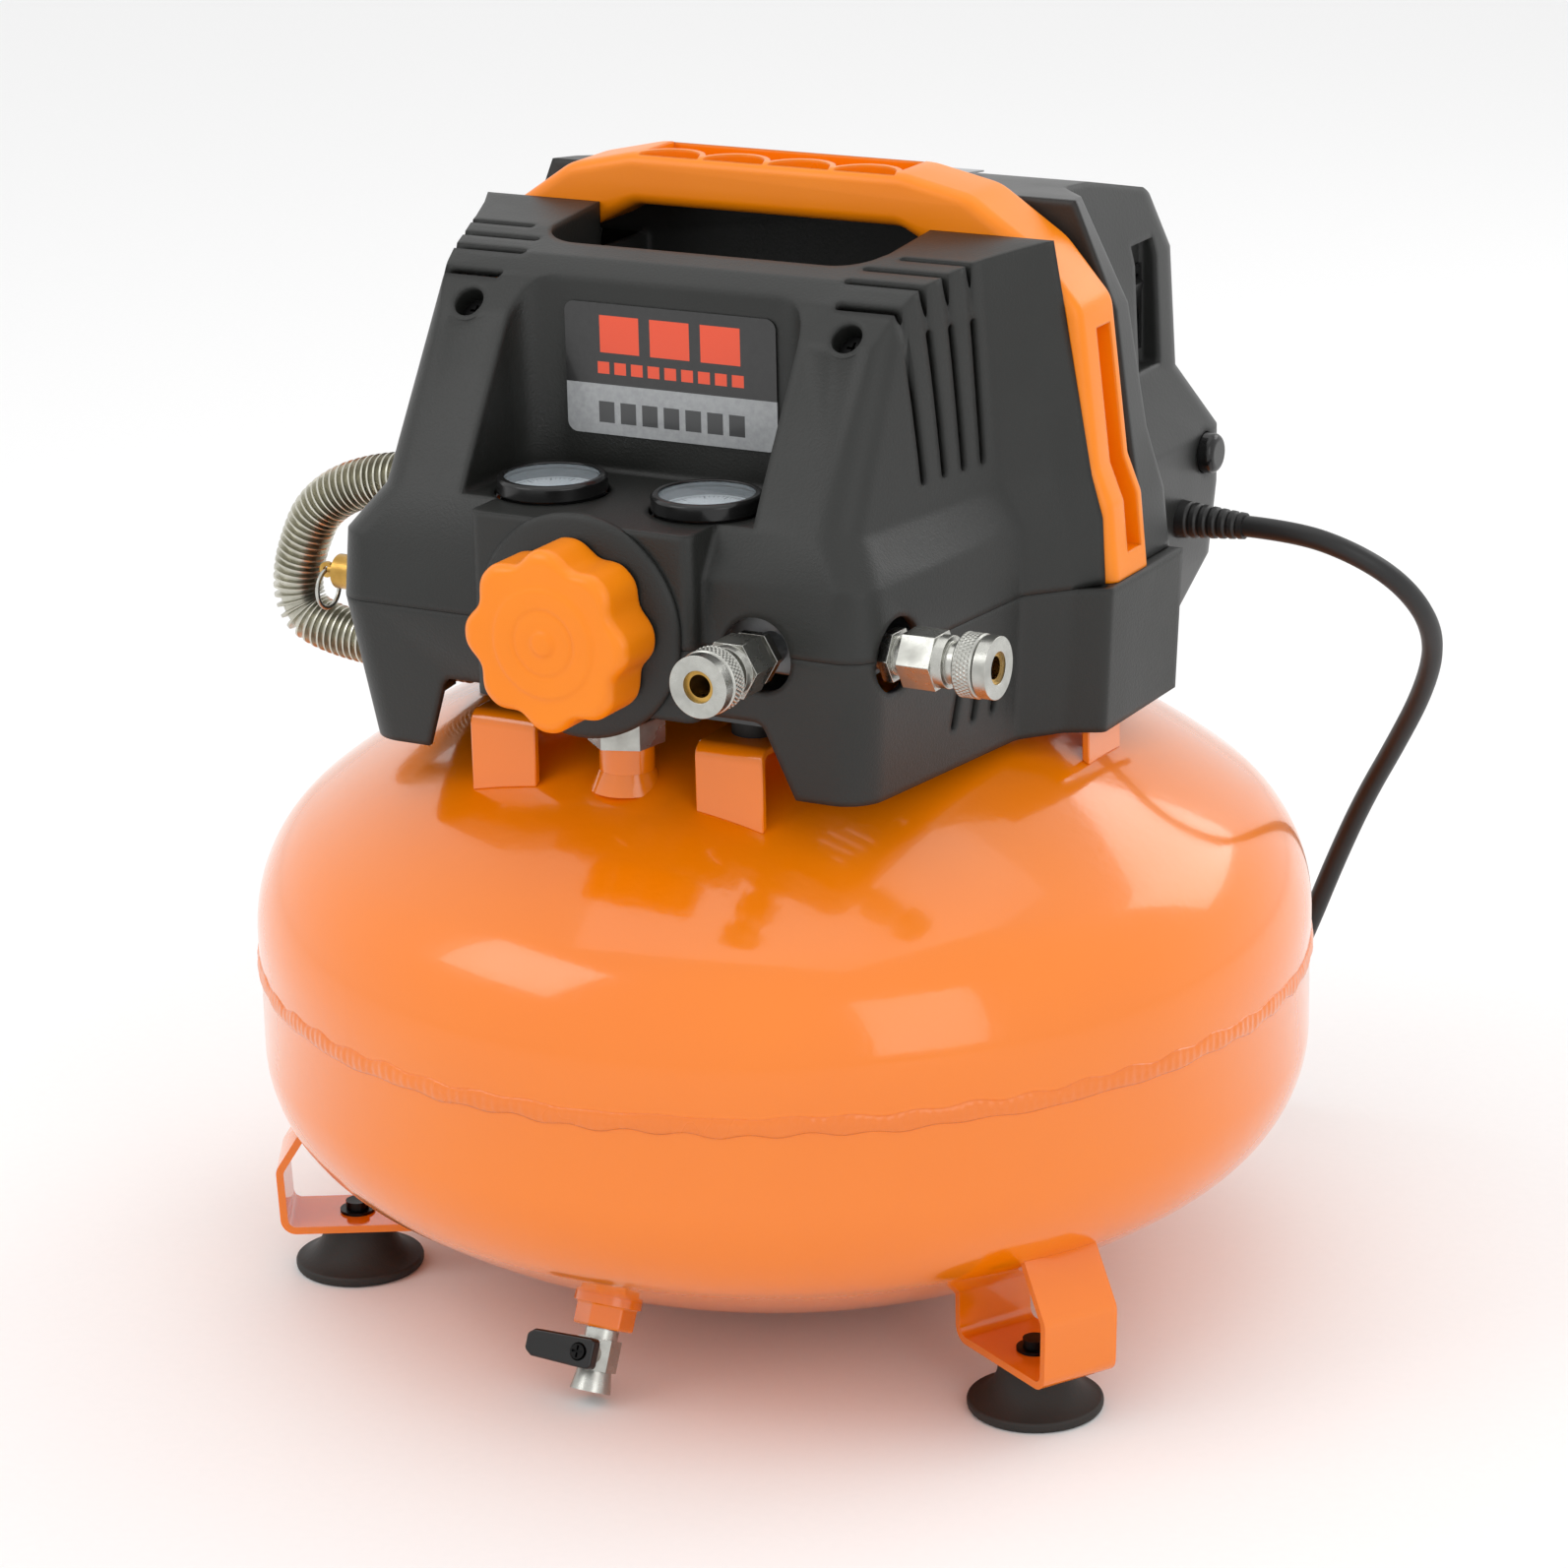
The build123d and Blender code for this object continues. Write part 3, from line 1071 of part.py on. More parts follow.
BEARINGS = [(50.0, 58.0), (118.0, 126.0)]
with BuildPart() as shaft_bearings:
    for start, end in BEARINGS:
        with BuildSketch(Plane.XZ.offset(-start)):
            with Locations((0, CRANK_Z)):
                Circle(14)
                Circle(6.05, mode=Mode.SUBTRACT)
        extrude(amount=-(end - start))
save(shaft_bearings.part, "shaft_bearings")

with BuildPart() as motor_stator:
    with BuildSketch(Plane.XZ.offset(-ROTOR_Y[0])):
        with Locations((0, CRANK_Z)):
            Circle(49)
            with Locations((0, -40)):
                Rectangle(70, 34)
            Circle(28.8, mode=Mode.SUBTRACT)
            with PolarLocations(35, 12):
                Circle(5.2, mode=Mode.SUBTRACT)
    extrude(amount=-(ROTOR_Y[1] - ROTOR_Y[0]))
save(motor_stator.part, "motor_stator")

with BuildPart() as stator_windings:
    for start, end in ((ROTOR_Y[0] - 7, ROTOR_Y[0]), (ROTOR_Y[1], ROTOR_Y[1] + 9)):
        with BuildSketch(Plane.XZ.offset(-start)):
            with Locations((0, CRANK_Z)):
                Circle(42)
                Circle(30, mode=Mode.SUBTRACT)
        extrude(amount=-(end - start))
save(stator_windings.part, "stator_windings")

with BuildPart() as motor_end_bracket:
    with BuildSketch(Plane.XZ.offset(-118.2)):
        with Locations((0, CRANK_Z)):
            Circle(24)
            Rectangle(20, 96)
            Rectangle(96, 16)
            with Locations((0, -45)):
                Rectangle(66, 24)
            Circle(14, mode=Mode.SUBTRACT)
    extrude(amount=-4)
    for turn in (1, -1):
        with Locations((turn * 45.5, 113.1, CRANK_Z)):
            Box(5, 10.2, 16)
save(motor_end_bracket.part, "motor_end_bracket")

FAN_Y = (130.0, 144.0)
with BuildPart() as cooling_fan:
    with BuildSketch(Plane.XZ.offset(-FAN_Y[0])):
        with Locations((0, CRANK_Z)):
            Circle(14)
            with PolarLocations(30, 9):
                Rectangle(36, 3, rotation=20)
            Circle(6, mode=Mode.SUBTRACT)
    extrude(amount=-(FAN_Y[1] - FAN_Y[0]))
save(cooling_fan.part, "cooling_fan")


# ---------------------------------------------------------- round bent tubes
def swept_tube(points, radii, radius):
    """A round solid along straight runs joined by tangent arcs."""
    with BuildPart() as tube:
        with BuildLine() as path:
            FilletPolyline(*points, radius=radii)
        with BuildSketch(Plane(origin=path.line @ 0, z_dir=path.line % 0)):
            Circle(radius)
        sweep(path=path.line)
    length = path.wires()[0].length
    share = tube.part.volume / (pi * radius ** 2 * length)
    print(f"tube of {length:.0f} mm, volume ratio {share:.3f}")
    return tube.part


TUBE_START = -110.0
cooling_run = [(TUBE_START, TUBE_Y, TUBE_TOP), (-172, TUBE_Y, TUBE_TOP), (-198, TUBE_Y, 268),
               (-180, TUBE_Y, TUBE_LOW), (TUBE_START, TUBE_Y, TUBE_LOW)]
save(swept_tube(cooling_run, [38, 15, 20], TUBE_RADIUS), "finned_discharge_tube")

PIPE_RADIUS = 4.5
with BuildPart() as discharge_pipes:
    add(swept_tube([(TUBE_START, TUBE_Y, TUBE_TOP), (-96, TUBE_Y, TUBE_TOP), (-96, PISTON_Y - 36, TUBE_TOP)],
                   [10], PIPE_RADIUS))
    add(swept_tube([(TUBE_START, TUBE_Y, TUBE_LOW), (-88, TUBE_Y, TUBE_LOW), (-84, -66, 272),
                    (-34, OUTLET_Y, 272), (-8.5, OUTLET_Y, 272)], [9, 14, 14], PIPE_RADIUS))
save(discharge_pipes.part, "discharge_pipes")


# ---------------------------------------------------------------- power cord
CORD_ROUTE = [
    (RELIEF_END, CORD_Y, CORD_Z), (168, 116, 290), (189, 120, 283.5), (204, 131, 271), (210, 147, 253.5),
    (207, 165, 234), (196, 181, 210), (180, 194, 183), (162, 204, 153), (146, 212, 120), (132, 218, 87),
    (117, 222.5, 56), (96, 226.5, 30), (71, 230, 13), (44, 233, 5.5), (16, 235.4, CORD_RADIUS),
    (-12, 237.3, CORD_RADIUS), (-40, 238.6, CORD_RADIUS), (-70, 239.25, CORD_RADIUS),
    (-100, 239.25, CORD_RADIUS),
]
COIL_X, COIL_Y = -104.0, 188.0
COIL_INNER, COIL_OUTER, COIL_HEIGHT = 38.5, 55.5, 17.0


def bend_radii(points):
    """The radius of the arc at each inner point: 0.45 of its shorter run over tan(half turn)."""
    radii = []
    for before, here, after in zip(points, points[1:], points[2:]):
        into, out = Vector(*here) - Vector(*before), Vector(*after) - Vector(*here)
        turn = radians(into.get_angle(out))
        radii.append(0.45 * min(into.length, out.length) / max(tan(turn / 2), 0.01))
    return radii


with BuildPart() as cord_ring:
    with BuildSketch():
        with Locations((COIL_X, COIL_Y)):
            Circle(COIL_OUTER)
            Circle(COIL_INNER, mode=Mode.SUBTRACT)
    extrude(amount=COIL_HEIGHT)
print("tightest bend", round(min(bend_radii(CORD_ROUTE))), "mm")
with BuildPart() as power_cord:
    add(swept_tube(CORD_ROUTE, bend_radii(CORD_ROUTE), CORD_RADIUS))
    add(cord_ring.part, mode=Mode.SUBTRACT)
save(power_cord.part, "power_cord")
save(cord_ring.part, "power_cord_coil")

PLUG_BACK = (COIL_X - COIL_INNER + 0.5, COIL_Y)
with BuildPart() as power_plug:
    with BuildSketch(Plane.YZ.offset(PLUG_BACK[0])):
        with Locations((COIL_Y, 10)):
            Circle(6)
    with BuildSketch(Plane.YZ.offset(PLUG_BACK[0] + 18)):
        with Locations((COIL_Y, 10)):
            RectangleRounded(24, 17, 7)
    loft()
    with BuildSketch(Plane.YZ.offset(PLUG_BACK[0] + 18)):
        with Locations((COIL_Y, 10)):
            RectangleRounded(26, 20, 7)
    extrude(amount=17)
    fillet(power_plug.edges().group_by(Axis.X)[-1], 2)
    front_x = PLUG_BACK[0] + 35
    for y in (-6.3, 6.3):
        with Locations((front_x + 7, COIL_Y + y, 12)):
            Box(16, 1.6, 6.4)
    with BuildSketch(Plane.YZ.offset(front_x - 1)):
        with Locations((COIL_Y, 5)):
            Circle(2.4)
    extrude(amount=19)
save(power_plug.part, "power_plug")
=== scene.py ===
"""Pancake air compressor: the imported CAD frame, dressed with modelled pieces and procedural materials.

Metres, +Z up, the front with the knob and the gauges towards -Y.
"""
import json
from math import cos, pi, radians, sin, sqrt

import bmesh
import bpy
import numpy as np
from mathutils import Matrix, Vector


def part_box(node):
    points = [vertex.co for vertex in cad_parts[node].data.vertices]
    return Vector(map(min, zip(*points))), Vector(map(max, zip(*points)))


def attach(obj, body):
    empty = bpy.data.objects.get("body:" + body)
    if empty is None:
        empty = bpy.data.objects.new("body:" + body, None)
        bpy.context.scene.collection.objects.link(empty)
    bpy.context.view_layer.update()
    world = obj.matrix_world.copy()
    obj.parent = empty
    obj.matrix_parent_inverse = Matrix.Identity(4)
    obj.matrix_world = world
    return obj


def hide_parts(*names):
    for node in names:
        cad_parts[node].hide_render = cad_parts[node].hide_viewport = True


bl_info = {
    "name": "Pancake air compressor",
    "version": (1, 0, 0),
    "blender": (4, 5, 0),
    "location": "View3D > Sidebar > Compressor",
    "description": "Builds the visual model of a pancake air compressor over its packed frame",
    "category": "Object",
}

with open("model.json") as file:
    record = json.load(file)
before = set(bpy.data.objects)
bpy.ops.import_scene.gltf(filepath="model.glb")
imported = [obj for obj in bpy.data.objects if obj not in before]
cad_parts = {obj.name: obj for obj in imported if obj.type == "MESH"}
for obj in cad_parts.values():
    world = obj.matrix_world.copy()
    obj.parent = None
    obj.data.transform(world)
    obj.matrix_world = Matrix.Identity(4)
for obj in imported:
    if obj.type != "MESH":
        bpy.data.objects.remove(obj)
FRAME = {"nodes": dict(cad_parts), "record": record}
BODY = "compressor"


# ------------------------------------------------------------------ settings
def length(name, description, default):
    """A length in metres that a user can change."""
    return bpy.props.FloatProperty(name=name, description=description, default=default, unit="LENGTH")


class TankSettings(bpy.types.PropertyGroup):
    """Sizes of the dished tank's outer skin and its weld."""
    upper_radius: length("Upper radius", "Outside radius of the upper dish", 0.2069)
    lower_radius: length("Lower radius", "Outside radius of the lower dish", 0.2064)
    upper_shoulder: length("Upper shoulder height", "Height where the upper dish starts to curve in", 0.1504)
    lower_shoulder: length("Lower shoulder height", "Height where the lower dish starts to curve in", 0.1034)
    upper_knuckle: length("Upper knuckle radius", "Radius of the bend at the upper shoulder", 0.0583)
    lower_knuckle: length("Lower knuckle radius", "Radius of the bend at the lower shoulder", 0.0499)
    upper_crown: length("Upper crown radius", "Radius of the wide arc over the top", 0.3029)
    lower_crown: length("Lower crown radius", "Radius of the wide arc under the bottom", 0.3185)
    seam_height: length("Seam height", "Height of the joint between the dishes", 0.140)
    weld_proud: length("Weld height", "How far the weld bead stands out", 0.0013)
    weld_width: length("Weld half width", "Half the height of the weld bead", 0.0040)


class KnobSettings(bpy.types.PropertyGroup):
    """Shape of the regulator knob."""
    radius: length("Radius", "Radius over the knob's lobes", 0.034)
    lobes: bpy.props.IntProperty(name="Lobes", description="Number of lobes round the rim", default=8, min=3)
    notch: length("Finger notch depth", "How deep the notches between lobes are", 0.0040)


class TubeSettings(bpy.types.PropertyGroup):
    """Shape of the finned cooling tube."""
    root: length("Root radius", "Radius between the fins", 0.0076)
    tip: length("Fin radius", "Radius over the fins", 0.0100)
    pitch: length("Fin pitch", "Distance from one fin to the next", 0.0030)


class FinishSettings(bpy.types.PropertyGroup):
    """Main colours, as sRGB hex values."""
    enamel: bpy.props.StringProperty(name="Enamel", description="Colour of the tank", default="#EE7C00")
    handle: bpy.props.StringProperty(name="Handle", description="Colour of the handle and knob", default="#F28600")
    hood: bpy.props.StringProperty(name="Hood", description="Colour of the front hood", default="#1B1C1A")
    cover: bpy.props.StringProperty(name="Cover", description="Colour of the rear cover", default="#232423")


# ------------------------------------------------------------------ materials
NOISE_SPAN = {"in_1": 0.3, "in_2": 0.7}      # most values of a noise lie between these
TIMES = {"operation": "MULTIPLY"}
COLOURS = {"data_type": "RGBA"}


def colour(code):
    """An sRGB hex colour as the linear colour that nodes take."""
    parts = [int(code[i:i + 2], 16) / 255 for i in (1, 3, 5)]
    return tuple(c / 12.92 if c <= 0.04045 else ((c + 0.055) / 1.055) ** 2.4 for c in parts) + (1.0,)


def add_node(tree, kind, settings=None, out=0, **inputs):
    """Adds a node with its settings made and its inputs set or linked, and gives one of its outputs.

    An underscore in an input's name stands for a space, and in_N is the input numbered N.
    """
    node = tree.nodes.new(kind)
    for key, value in (settings or {}).items():
        setattr(node, key, value)
    for key, value in inputs.items():
        name = key.replace("_", " ")
        socket = node.inputs[int(name[3:])] if name.startswith("in ") else node.inputs[name]
        if isinstance(value, bpy.types.NodeSocket):
            tree.links.new(value, socket)
        else:
            socket.default_value = value
    return node.outputs[out] if len(node.outputs) else None


def started(name):
    """A new material, its tree and its Object coordinates."""
    material = bpy.data.materials.new(name)
    material.use_nodes = True
    tree = material.node_tree
    tree.nodes.clear()
    place = add_node(tree, "ShaderNodeTexCoord", out="Object")
    return material, tree, place


def closed(tree, **inputs):
    """The surface that ends a material."""
    surface = add_node(tree, "ShaderNodeBsdfPrincipled", **inputs)
    add_node(tree, "ShaderNodeOutputMaterial", Surface=surface)


def painted(name, base, deep, roughness=0.16, peel_depth=0.00018):
    """Sprayed stoving enamel: a glassy coat over a faint orange peel, and a slightly deeper shade in patches."""
    material, tree, place = started(name)
    patches = add_node(tree, "ShaderNodeTexNoise", Vector=place, Scale=1 / 0.12, Detail=4, Roughness=0.55)
    peel = add_node(tree, "ShaderNodeTexNoise", Vector=place, Scale=1 / 0.0042, Detail=2, Roughness=0.55)
    haze = add_node(tree, "ShaderNodeTexNoise", Vector=place, Scale=1 / 0.05, Detail=3, Roughness=0.55)
    share = add_node(tree, "ShaderNodeMapRange", in_0=patches, **NOISE_SPAN, in_3=0.0, in_4=0.55)
    closed(tree, Base_Color=add_node(tree, "ShaderNodeMix", COLOURS, 2, in_0=share, in_6=colour(base),
                                     in_7=colour(deep)),
           Roughness=add_node(tree, "ShaderNodeMapRange", in_0=haze, **NOISE_SPAN, in_3=roughness,
                              in_4=roughness + 0.12),
           Coat_Weight=0.6, Coat_Roughness=0.06,
           Normal=add_node(tree, "ShaderNodeBump", Height=peel, Distance=peel_depth, Strength=1.0))
    return material


def tank_enamel():
    """Gloss orange enamel on pressed steel, which shows broad soft highlights."""
    return painted("sprayed_orange_enamel", bpy.context.scene.compressor_finish.enamel, "#E87400", 0.12, 0.00008)


def weld_enamel():
    """The same enamel over a weld bead, rougher because the metal below it is spattered."""
    return painted("enamel_over_weld", "#EA7800", "#D86600", 0.26, 0.0004)


def plate_enamel():
    """Black enamel on sheet steel, seen only under the hood."""
    return painted("sprayed_black_enamel", "#222222", "#181818", 0.35)


def moulded(name, base, worn, grain, depth, low, high, rounding=0.0):
    """Injection-moulded plastic: a fine spark-eroded grain, and faint cloudy changes in shade and shine.

    grain is the size of the grain in metres, and low to high is the roughness. Edges catch the light as if
    they had the radius that rounding gives.
    """
    material, tree, place = started(name)
    cloud = add_node(tree, "ShaderNodeTexNoise", Vector=place, Scale=1 / 0.07, Detail=4, Roughness=0.55)
    texture = add_node(tree, "ShaderNodeTexNoise", Vector=place, Scale=1 / grain, Detail=2, Roughness=0.7)
    share = add_node(tree, "ShaderNodeMapRange", in_0=cloud, **NOISE_SPAN, in_3=0.0, in_4=1.0)
    edges = {"Normal": add_node(tree, "ShaderNodeBevel", {"samples": 6}, Radius=rounding)} if rounding else {}
    closed(tree, Base_Color=add_node(tree, "ShaderNodeMix", COLOURS, 2, in_0=share, in_6=colour(base),
                                     in_7=colour(worn)),
           Roughness=add_node(tree, "ShaderNodeMapRange", in_0=cloud, **NOISE_SPAN, in_3=low, in_4=high),
           Specular_IOR_Level=0.42,
           Normal=add_node(tree, "ShaderNodeBump", Height=texture, Distance=depth, Strength=1.0, **edges))
    return material


def black_plastic():
    """Textured black nylon of the front hood: dark, with a soft sheen where it turns to the light."""
    return moulded("moulded_black_nylon", bpy.context.scene.compressor_finish.hood, "#232422", 0.0011, 0.00014,
                   0.36, 0.48, 0.004)


def charcoal_plastic():
    """Smoother charcoal nylon of the rear cover, a shade greyer than the front."""
    return moulded("moulded_charcoal_nylon", bpy.context.scene.compressor_finish.cover, "#2B2C2B", 0.0014,
                   0.00008, 0.34, 0.46, 0.004)


def orange_plastic():
    """Orange polypropylene of the handle and the knob: satin, a little more yellow than the tank."""
    return moulded("moulded_orange_polypropylene", bpy.context.scene.compressor_finish.handle, "#EE8000",
                   0.0009, 0.00005, 0.26, 0.38, 0.0015)


def gloss_plastic():
    """Polished black plastic of the bezels, the switch and the button."""
    return moulded("polished_black_plastic", "#121212", "#1B1B1B", 0.0030, 0.00003, 0.16, 0.26)


def fan_plastic():
    """Plain black nylon of the cooling fan."""
    return moulded("moulded_fan_nylon", "#1C1C1C", "#262626", 0.0016, 0.00005, 0.4, 0.5)


def seal_plastic():
    """Brown filled polymer of the piston's cup seal."""
    return moulded("filled_polymer_seal", "#5A4A33", "#4C3E2B", 0.0008, 0.00004, 0.4, 0.5)


def foot_rubber():
    """Moulded rubber of the feet and the grommets: deep, dull, and dusty in patches."""
    return moulded("moulded_rubber", "#211F1D", "#2E2B28", 0.0018, 0.00012, 0.55, 0.78)


def cord_jacket():
    """Extruded rubber jacket of the cord, with a soft shine along its length."""
    return moulded("extruded_rubber_jacket", "#191919", "#202020", 0.0012, 0.00004, 0.38, 0.5)


def metal(name, base, stain, grain, depth, low, high):
    """Bare or plated metal: fine tool marks, and a darker stain in patches."""
    material, tree, place = started(name)
    stretched = add_node(tree, "ShaderNodeMapping", Vector=place, Scale=(1.0, 1.0, 5.0))
    marks = add_node(tree, "ShaderNodeTexNoise", Vector=stretched, Scale=1 / grain, Detail=3, Roughness=0.7)
    patches = add_node(tree, "ShaderNodeTexNoise", Vector=place, Scale=1 / 0.012, Detail=5, Roughness=0.55)
    share = add_node(tree, "ShaderNodeMapRange", in_0=patches, **NOISE_SPAN, in_3=0.0, in_4=0.8)
    closed(tree, Base_Color=add_node(tree, "ShaderNodeMix", COLOURS, 2, in_0=share, in_6=colour(base),
                                     in_7=colour(stain)),
           Metallic=1.0,
           Roughness=add_node(tree, "ShaderNodeMapRange", in_0=patches, **NOISE_SPAN, in_3=low, in_4=high),
           Normal=add_node(tree, "ShaderNodeBump", Height=marks, Distance=depth, Strength=1.0))
    return material


def zinc_steel():
    """Zinc-plated steel of the couplers and fasteners: bright grey with a slight bloom."""
    return metal("zinc_plated_steel", "#C4C4BE", "#94948E", 0.0016, 0.00004, 0.2, 0.38)


def machined_brass():
    """Turned brass of the valves, yellow with browner patches."""
    return metal("machined_brass", "#D0A85C", "#9C7434", 0.0014, 0.00004, 0.2, 0.36)


def chromed_steel():
    """Polished chrome of the drain valve's ball stem."""
    return metal("chromed_steel", "#D6D8DA", "#B8BABC", 0.004, 0.00001, 0.06, 0.14)


def cast_aluminium():
    """Die-cast aluminium of the pump, dull with a grainy skin."""
    return metal("die_cast_aluminium", "#A9ABAC", "#86888A", 0.0010, 0.00012, 0.4, 0.6)


def tube_aluminium():
    """Rolled aluminium fins of the cooling tube, soft grey with dark roots."""
    return metal("rolled_aluminium", "#D2D0C4", "#ACAA9C", 0.0018, 0.00005, 0.24, 0.4)


def cast_iron():
    """Cast iron of the crank's counterweight."""
    return metal("sand_cast_iron", "#5A5958", "#403F3E", 0.0012, 0.00015, 0.5, 0.7)


def ground_steel():
    """Ground steel of the shaft and the bearings."""
    return metal("ground_steel", "#BFC0C0", "#A0A1A1", 0.0022, 0.00002, 0.14, 0.24)


def black_steel():
    """Black-oxide steel of the screws, dark with a dull shine."""
    return metal("black_oxide_steel", "#2A2A2A", "#1E1E1E", 0.0012, 0.00004, 0.35, 0.5)


def copper_wire():
    """Enamelled copper of the motor's windings, with the wires seen as fine lines."""
    return metal("enamelled_copper_wire", "#B8622C", "#7A3A18", 0.0009, 0.00030, 0.25, 0.4)


def between(tree, value, low, high):
    """1 where value lies between low and high, and 0 elsewhere."""
    above = add_node(tree, "ShaderNodeMath", {"operation": "GREATER_THAN"}, in_0=value, in_1=low)
    below = add_node(tree, "ShaderNodeMath", {"operation": "LESS_THAN"}, in_0=value, in_1=high)
    return add_node(tree, "ShaderNodeMath", TIMES, in_0=above, in_1=below)


def repeated_marks(tree, value, pitch, half_width):
    """1 within half_width of each multiple of pitch, and 0 elsewhere."""
    away = add_node(tree, "ShaderNodeMath", {"operation": "PINGPONG"}, in_0=value, in_1=pitch / 2)
    return add_node(tree, "ShaderNodeMath", {"operation": "LESS_THAN"}, in_0=away, in_1=half_width)


TICK_STEP = radians(6.75)
DIAL_SWEEP = radians(136)
RED_START = radians(95)
SHORT_TICK = (0.0138, 0.0158)
LONG_TICK = (0.0122, 0.0158)
SCALE_ARC = (0.0156, 0.0160)
RED_BAND = (0.0128, 0.0137)


def dial_print(name, centre):
    """Screen-printed white dial: a ring of crisp black ticks, each fifth longer, and a red band at the high end."""
    material, tree, place = started(name)
    local = add_node(tree, "ShaderNodeVectorMath", {"operation": "SUBTRACT"}, in_0=place, in_1=centre)
    across = add_node(tree, "ShaderNodeSeparateXYZ", Vector=local)
    away = across.node.outputs[1]
    across_squared = add_node(tree, "ShaderNodeMath", TIMES, in_0=across, in_1=across)
    away_squared = add_node(tree, "ShaderNodeMath", TIMES, in_0=away, in_1=away)
    squared = add_node(tree, "ShaderNodeMath", {"operation": "ADD"}, in_0=across_squared, in_1=away_squared)
    reach = add_node(tree, "ShaderNodeMath", {"operation": "SQRT"}, in_0=squared)
    angle = add_node(tree, "ShaderNodeMath", {"operation": "ARCTAN2"}, in_0=across, in_1=away)
    swept = between(tree, angle, -DIAL_SWEEP, DIAL_SWEEP)
    short = add_node(tree, "ShaderNodeMath", TIMES,
                     in_0=repeated_marks(tree, angle, TICK_STEP, TICK_STEP * 0.10),
                     in_1=between(tree, reach, *SHORT_TICK))
    long = add_node(tree, "ShaderNodeMath", TIMES,
                    in_0=repeated_marks(tree, angle, TICK_STEP * 5, TICK_STEP * 0.20),
                    in_1=between(tree, reach, *LONG_TICK))
    either = add_node(tree, "ShaderNodeMath", {"operation": "MAXIMUM"}, in_0=short, in_1=long)
    ticks = add_node(tree, "ShaderNodeMath", TIMES, in_0=swept, in_1=either)
    arc = add_node(tree, "ShaderNodeMath", TIMES, in_0=swept, in_1=between(tree, reach, *SCALE_ARC))
    ink = add_node(tree, "ShaderNodeMath", {"operation": "MAXIMUM"}, in_0=ticks, in_1=arc)
    red = add_node(tree, "ShaderNodeMath", TIMES, in_0=between(tree, angle, RED_START, DIAL_SWEEP),
                   in_1=between(tree, reach, *RED_BAND))
    mottle = add_node(tree, "ShaderNodeTexNoise", Vector=place, Scale=1 / 0.02, Detail=3, Roughness=0.55)
    share = add_node(tree, "ShaderNodeMapRange", in_0=mottle, **NOISE_SPAN, in_3=0.0, in_4=1.0)
    paper = add_node(tree, "ShaderNodeMix", COLOURS, 2, in_0=share, in_6=colour("#E4E9EC"),
                     in_7=colour("#D6DDE2"))
    inked = add_node(tree, "ShaderNodeMix", COLOURS, 2, in_0=ink, in_6=paper, in_7=colour("#15181B"))
    face = add_node(tree, "ShaderNodeMix", COLOURS, 2, in_0=red, in_6=inked, in_7=colour("#C43A22"))
    closed(tree, Base_Color=face, Roughness=0.35)
    return material


def gauge_glass():
    """Clear moulded lens with a faint blue cast and a clean reflection."""
    material, tree, place = started("moulded_gauge_lens")
    ripple = add_node(tree, "ShaderNodeTexNoise", Vector=place, Scale=1 / 0.015, Detail=2, Roughness=0.55)
    closed(tree, Base_Color=colour("#DFECF4"), Roughness=0.03, Transmission_Weight=0.0, Alpha=0.22,
           Coat_Weight=1.0, Coat_Roughness=0.02,
           Normal=add_node(tree, "ShaderNodeBump", Height=ripple, Distance=0.0001, Strength=1.0))
    return material


def pointer_paint():
    """Dark painted pointer, with a slight shine."""
    return moulded("painted_pointer", "#231F1E", "#2F2A28", 0.002, 0.00001, 0.3, 0.4)


LABEL_INSET = (-0.032, 0.032)
SILVER_BAND = (0.35, 0.3725)
TALL_BARS = (0.3845, 0.3985)
SHORT_DASHES = (0.3765, 0.3810)
DARK_MARKS = (0.3580, 0.3660)


def label_print():
    """Printed film: a silver band with dark marks low down, and flame-coloured bars on black above.

    A row of marks is the product of a band of heights, the label's inset and a repeated bar, each 0 or 1.
    """
    material, tree, place = started("printed_label_film")
    across = add_node(tree, "ShaderNodeSeparateXYZ", Vector=place)
    height = across.node.outputs[2]
    inset = between(tree, across, *LABEL_INSET)

    def row(heights, pitch, share):
        """Upright bars between two heights, each of them share of a pitch wide."""
        band = add_node(tree, "ShaderNodeMath", TIMES, in_0=between(tree, height, *heights), in_1=inset)
        bars = repeated_marks(tree, across, pitch, pitch / 2 * share)
        return add_node(tree, "ShaderNodeMath", TIMES, in_0=band, in_1=bars)

    block = add_node(tree, "ShaderNodeMath", {"operation": "MAXIMUM"}, in_0=row(TALL_BARS, 0.0213, 0.78),
                     in_1=row(SHORT_DASHES, 0.0071, 0.7))
    flecks = add_node(tree, "ShaderNodeTexNoise", Vector=place, Scale=1 / 0.002, Detail=2, Roughness=0.55)
    share = add_node(tree, "ShaderNodeMapRange", in_0=flecks, **NOISE_SPAN, in_3=0.0, in_4=1.0)
    dark = add_node(tree, "ShaderNodeMix", COLOURS, 2, in_0=share, in_6=colour("#141414"), in_7=colour("#1C1C1C"))
    silver = add_node(tree, "ShaderNodeMix", COLOURS, 2, in_0=share, in_6=colour("#A5A7A8"),
                      in_7=colour("#97999B"))
    upper = add_node(tree, "ShaderNodeMix", COLOURS, 2, in_0=block, in_6=dark, in_7=colour("#E8481A"))
    lower = add_node(tree, "ShaderNodeMix", COLOURS, 2, in_0=row(DARK_MARKS, 0.0092, 0.72), in_6=silver,
                     in_7=colour("#3A3B3C"))
    banded = add_node(tree, "ShaderNodeMix", COLOURS, 2, in_0=between(tree, height, *SILVER_BAND), in_6=upper,
                      in_7=lower)
    closed(tree, Base_Color=banded, Roughness=0.28, Coat_Weight=0.5, Coat_Roughness=0.1)
    return material


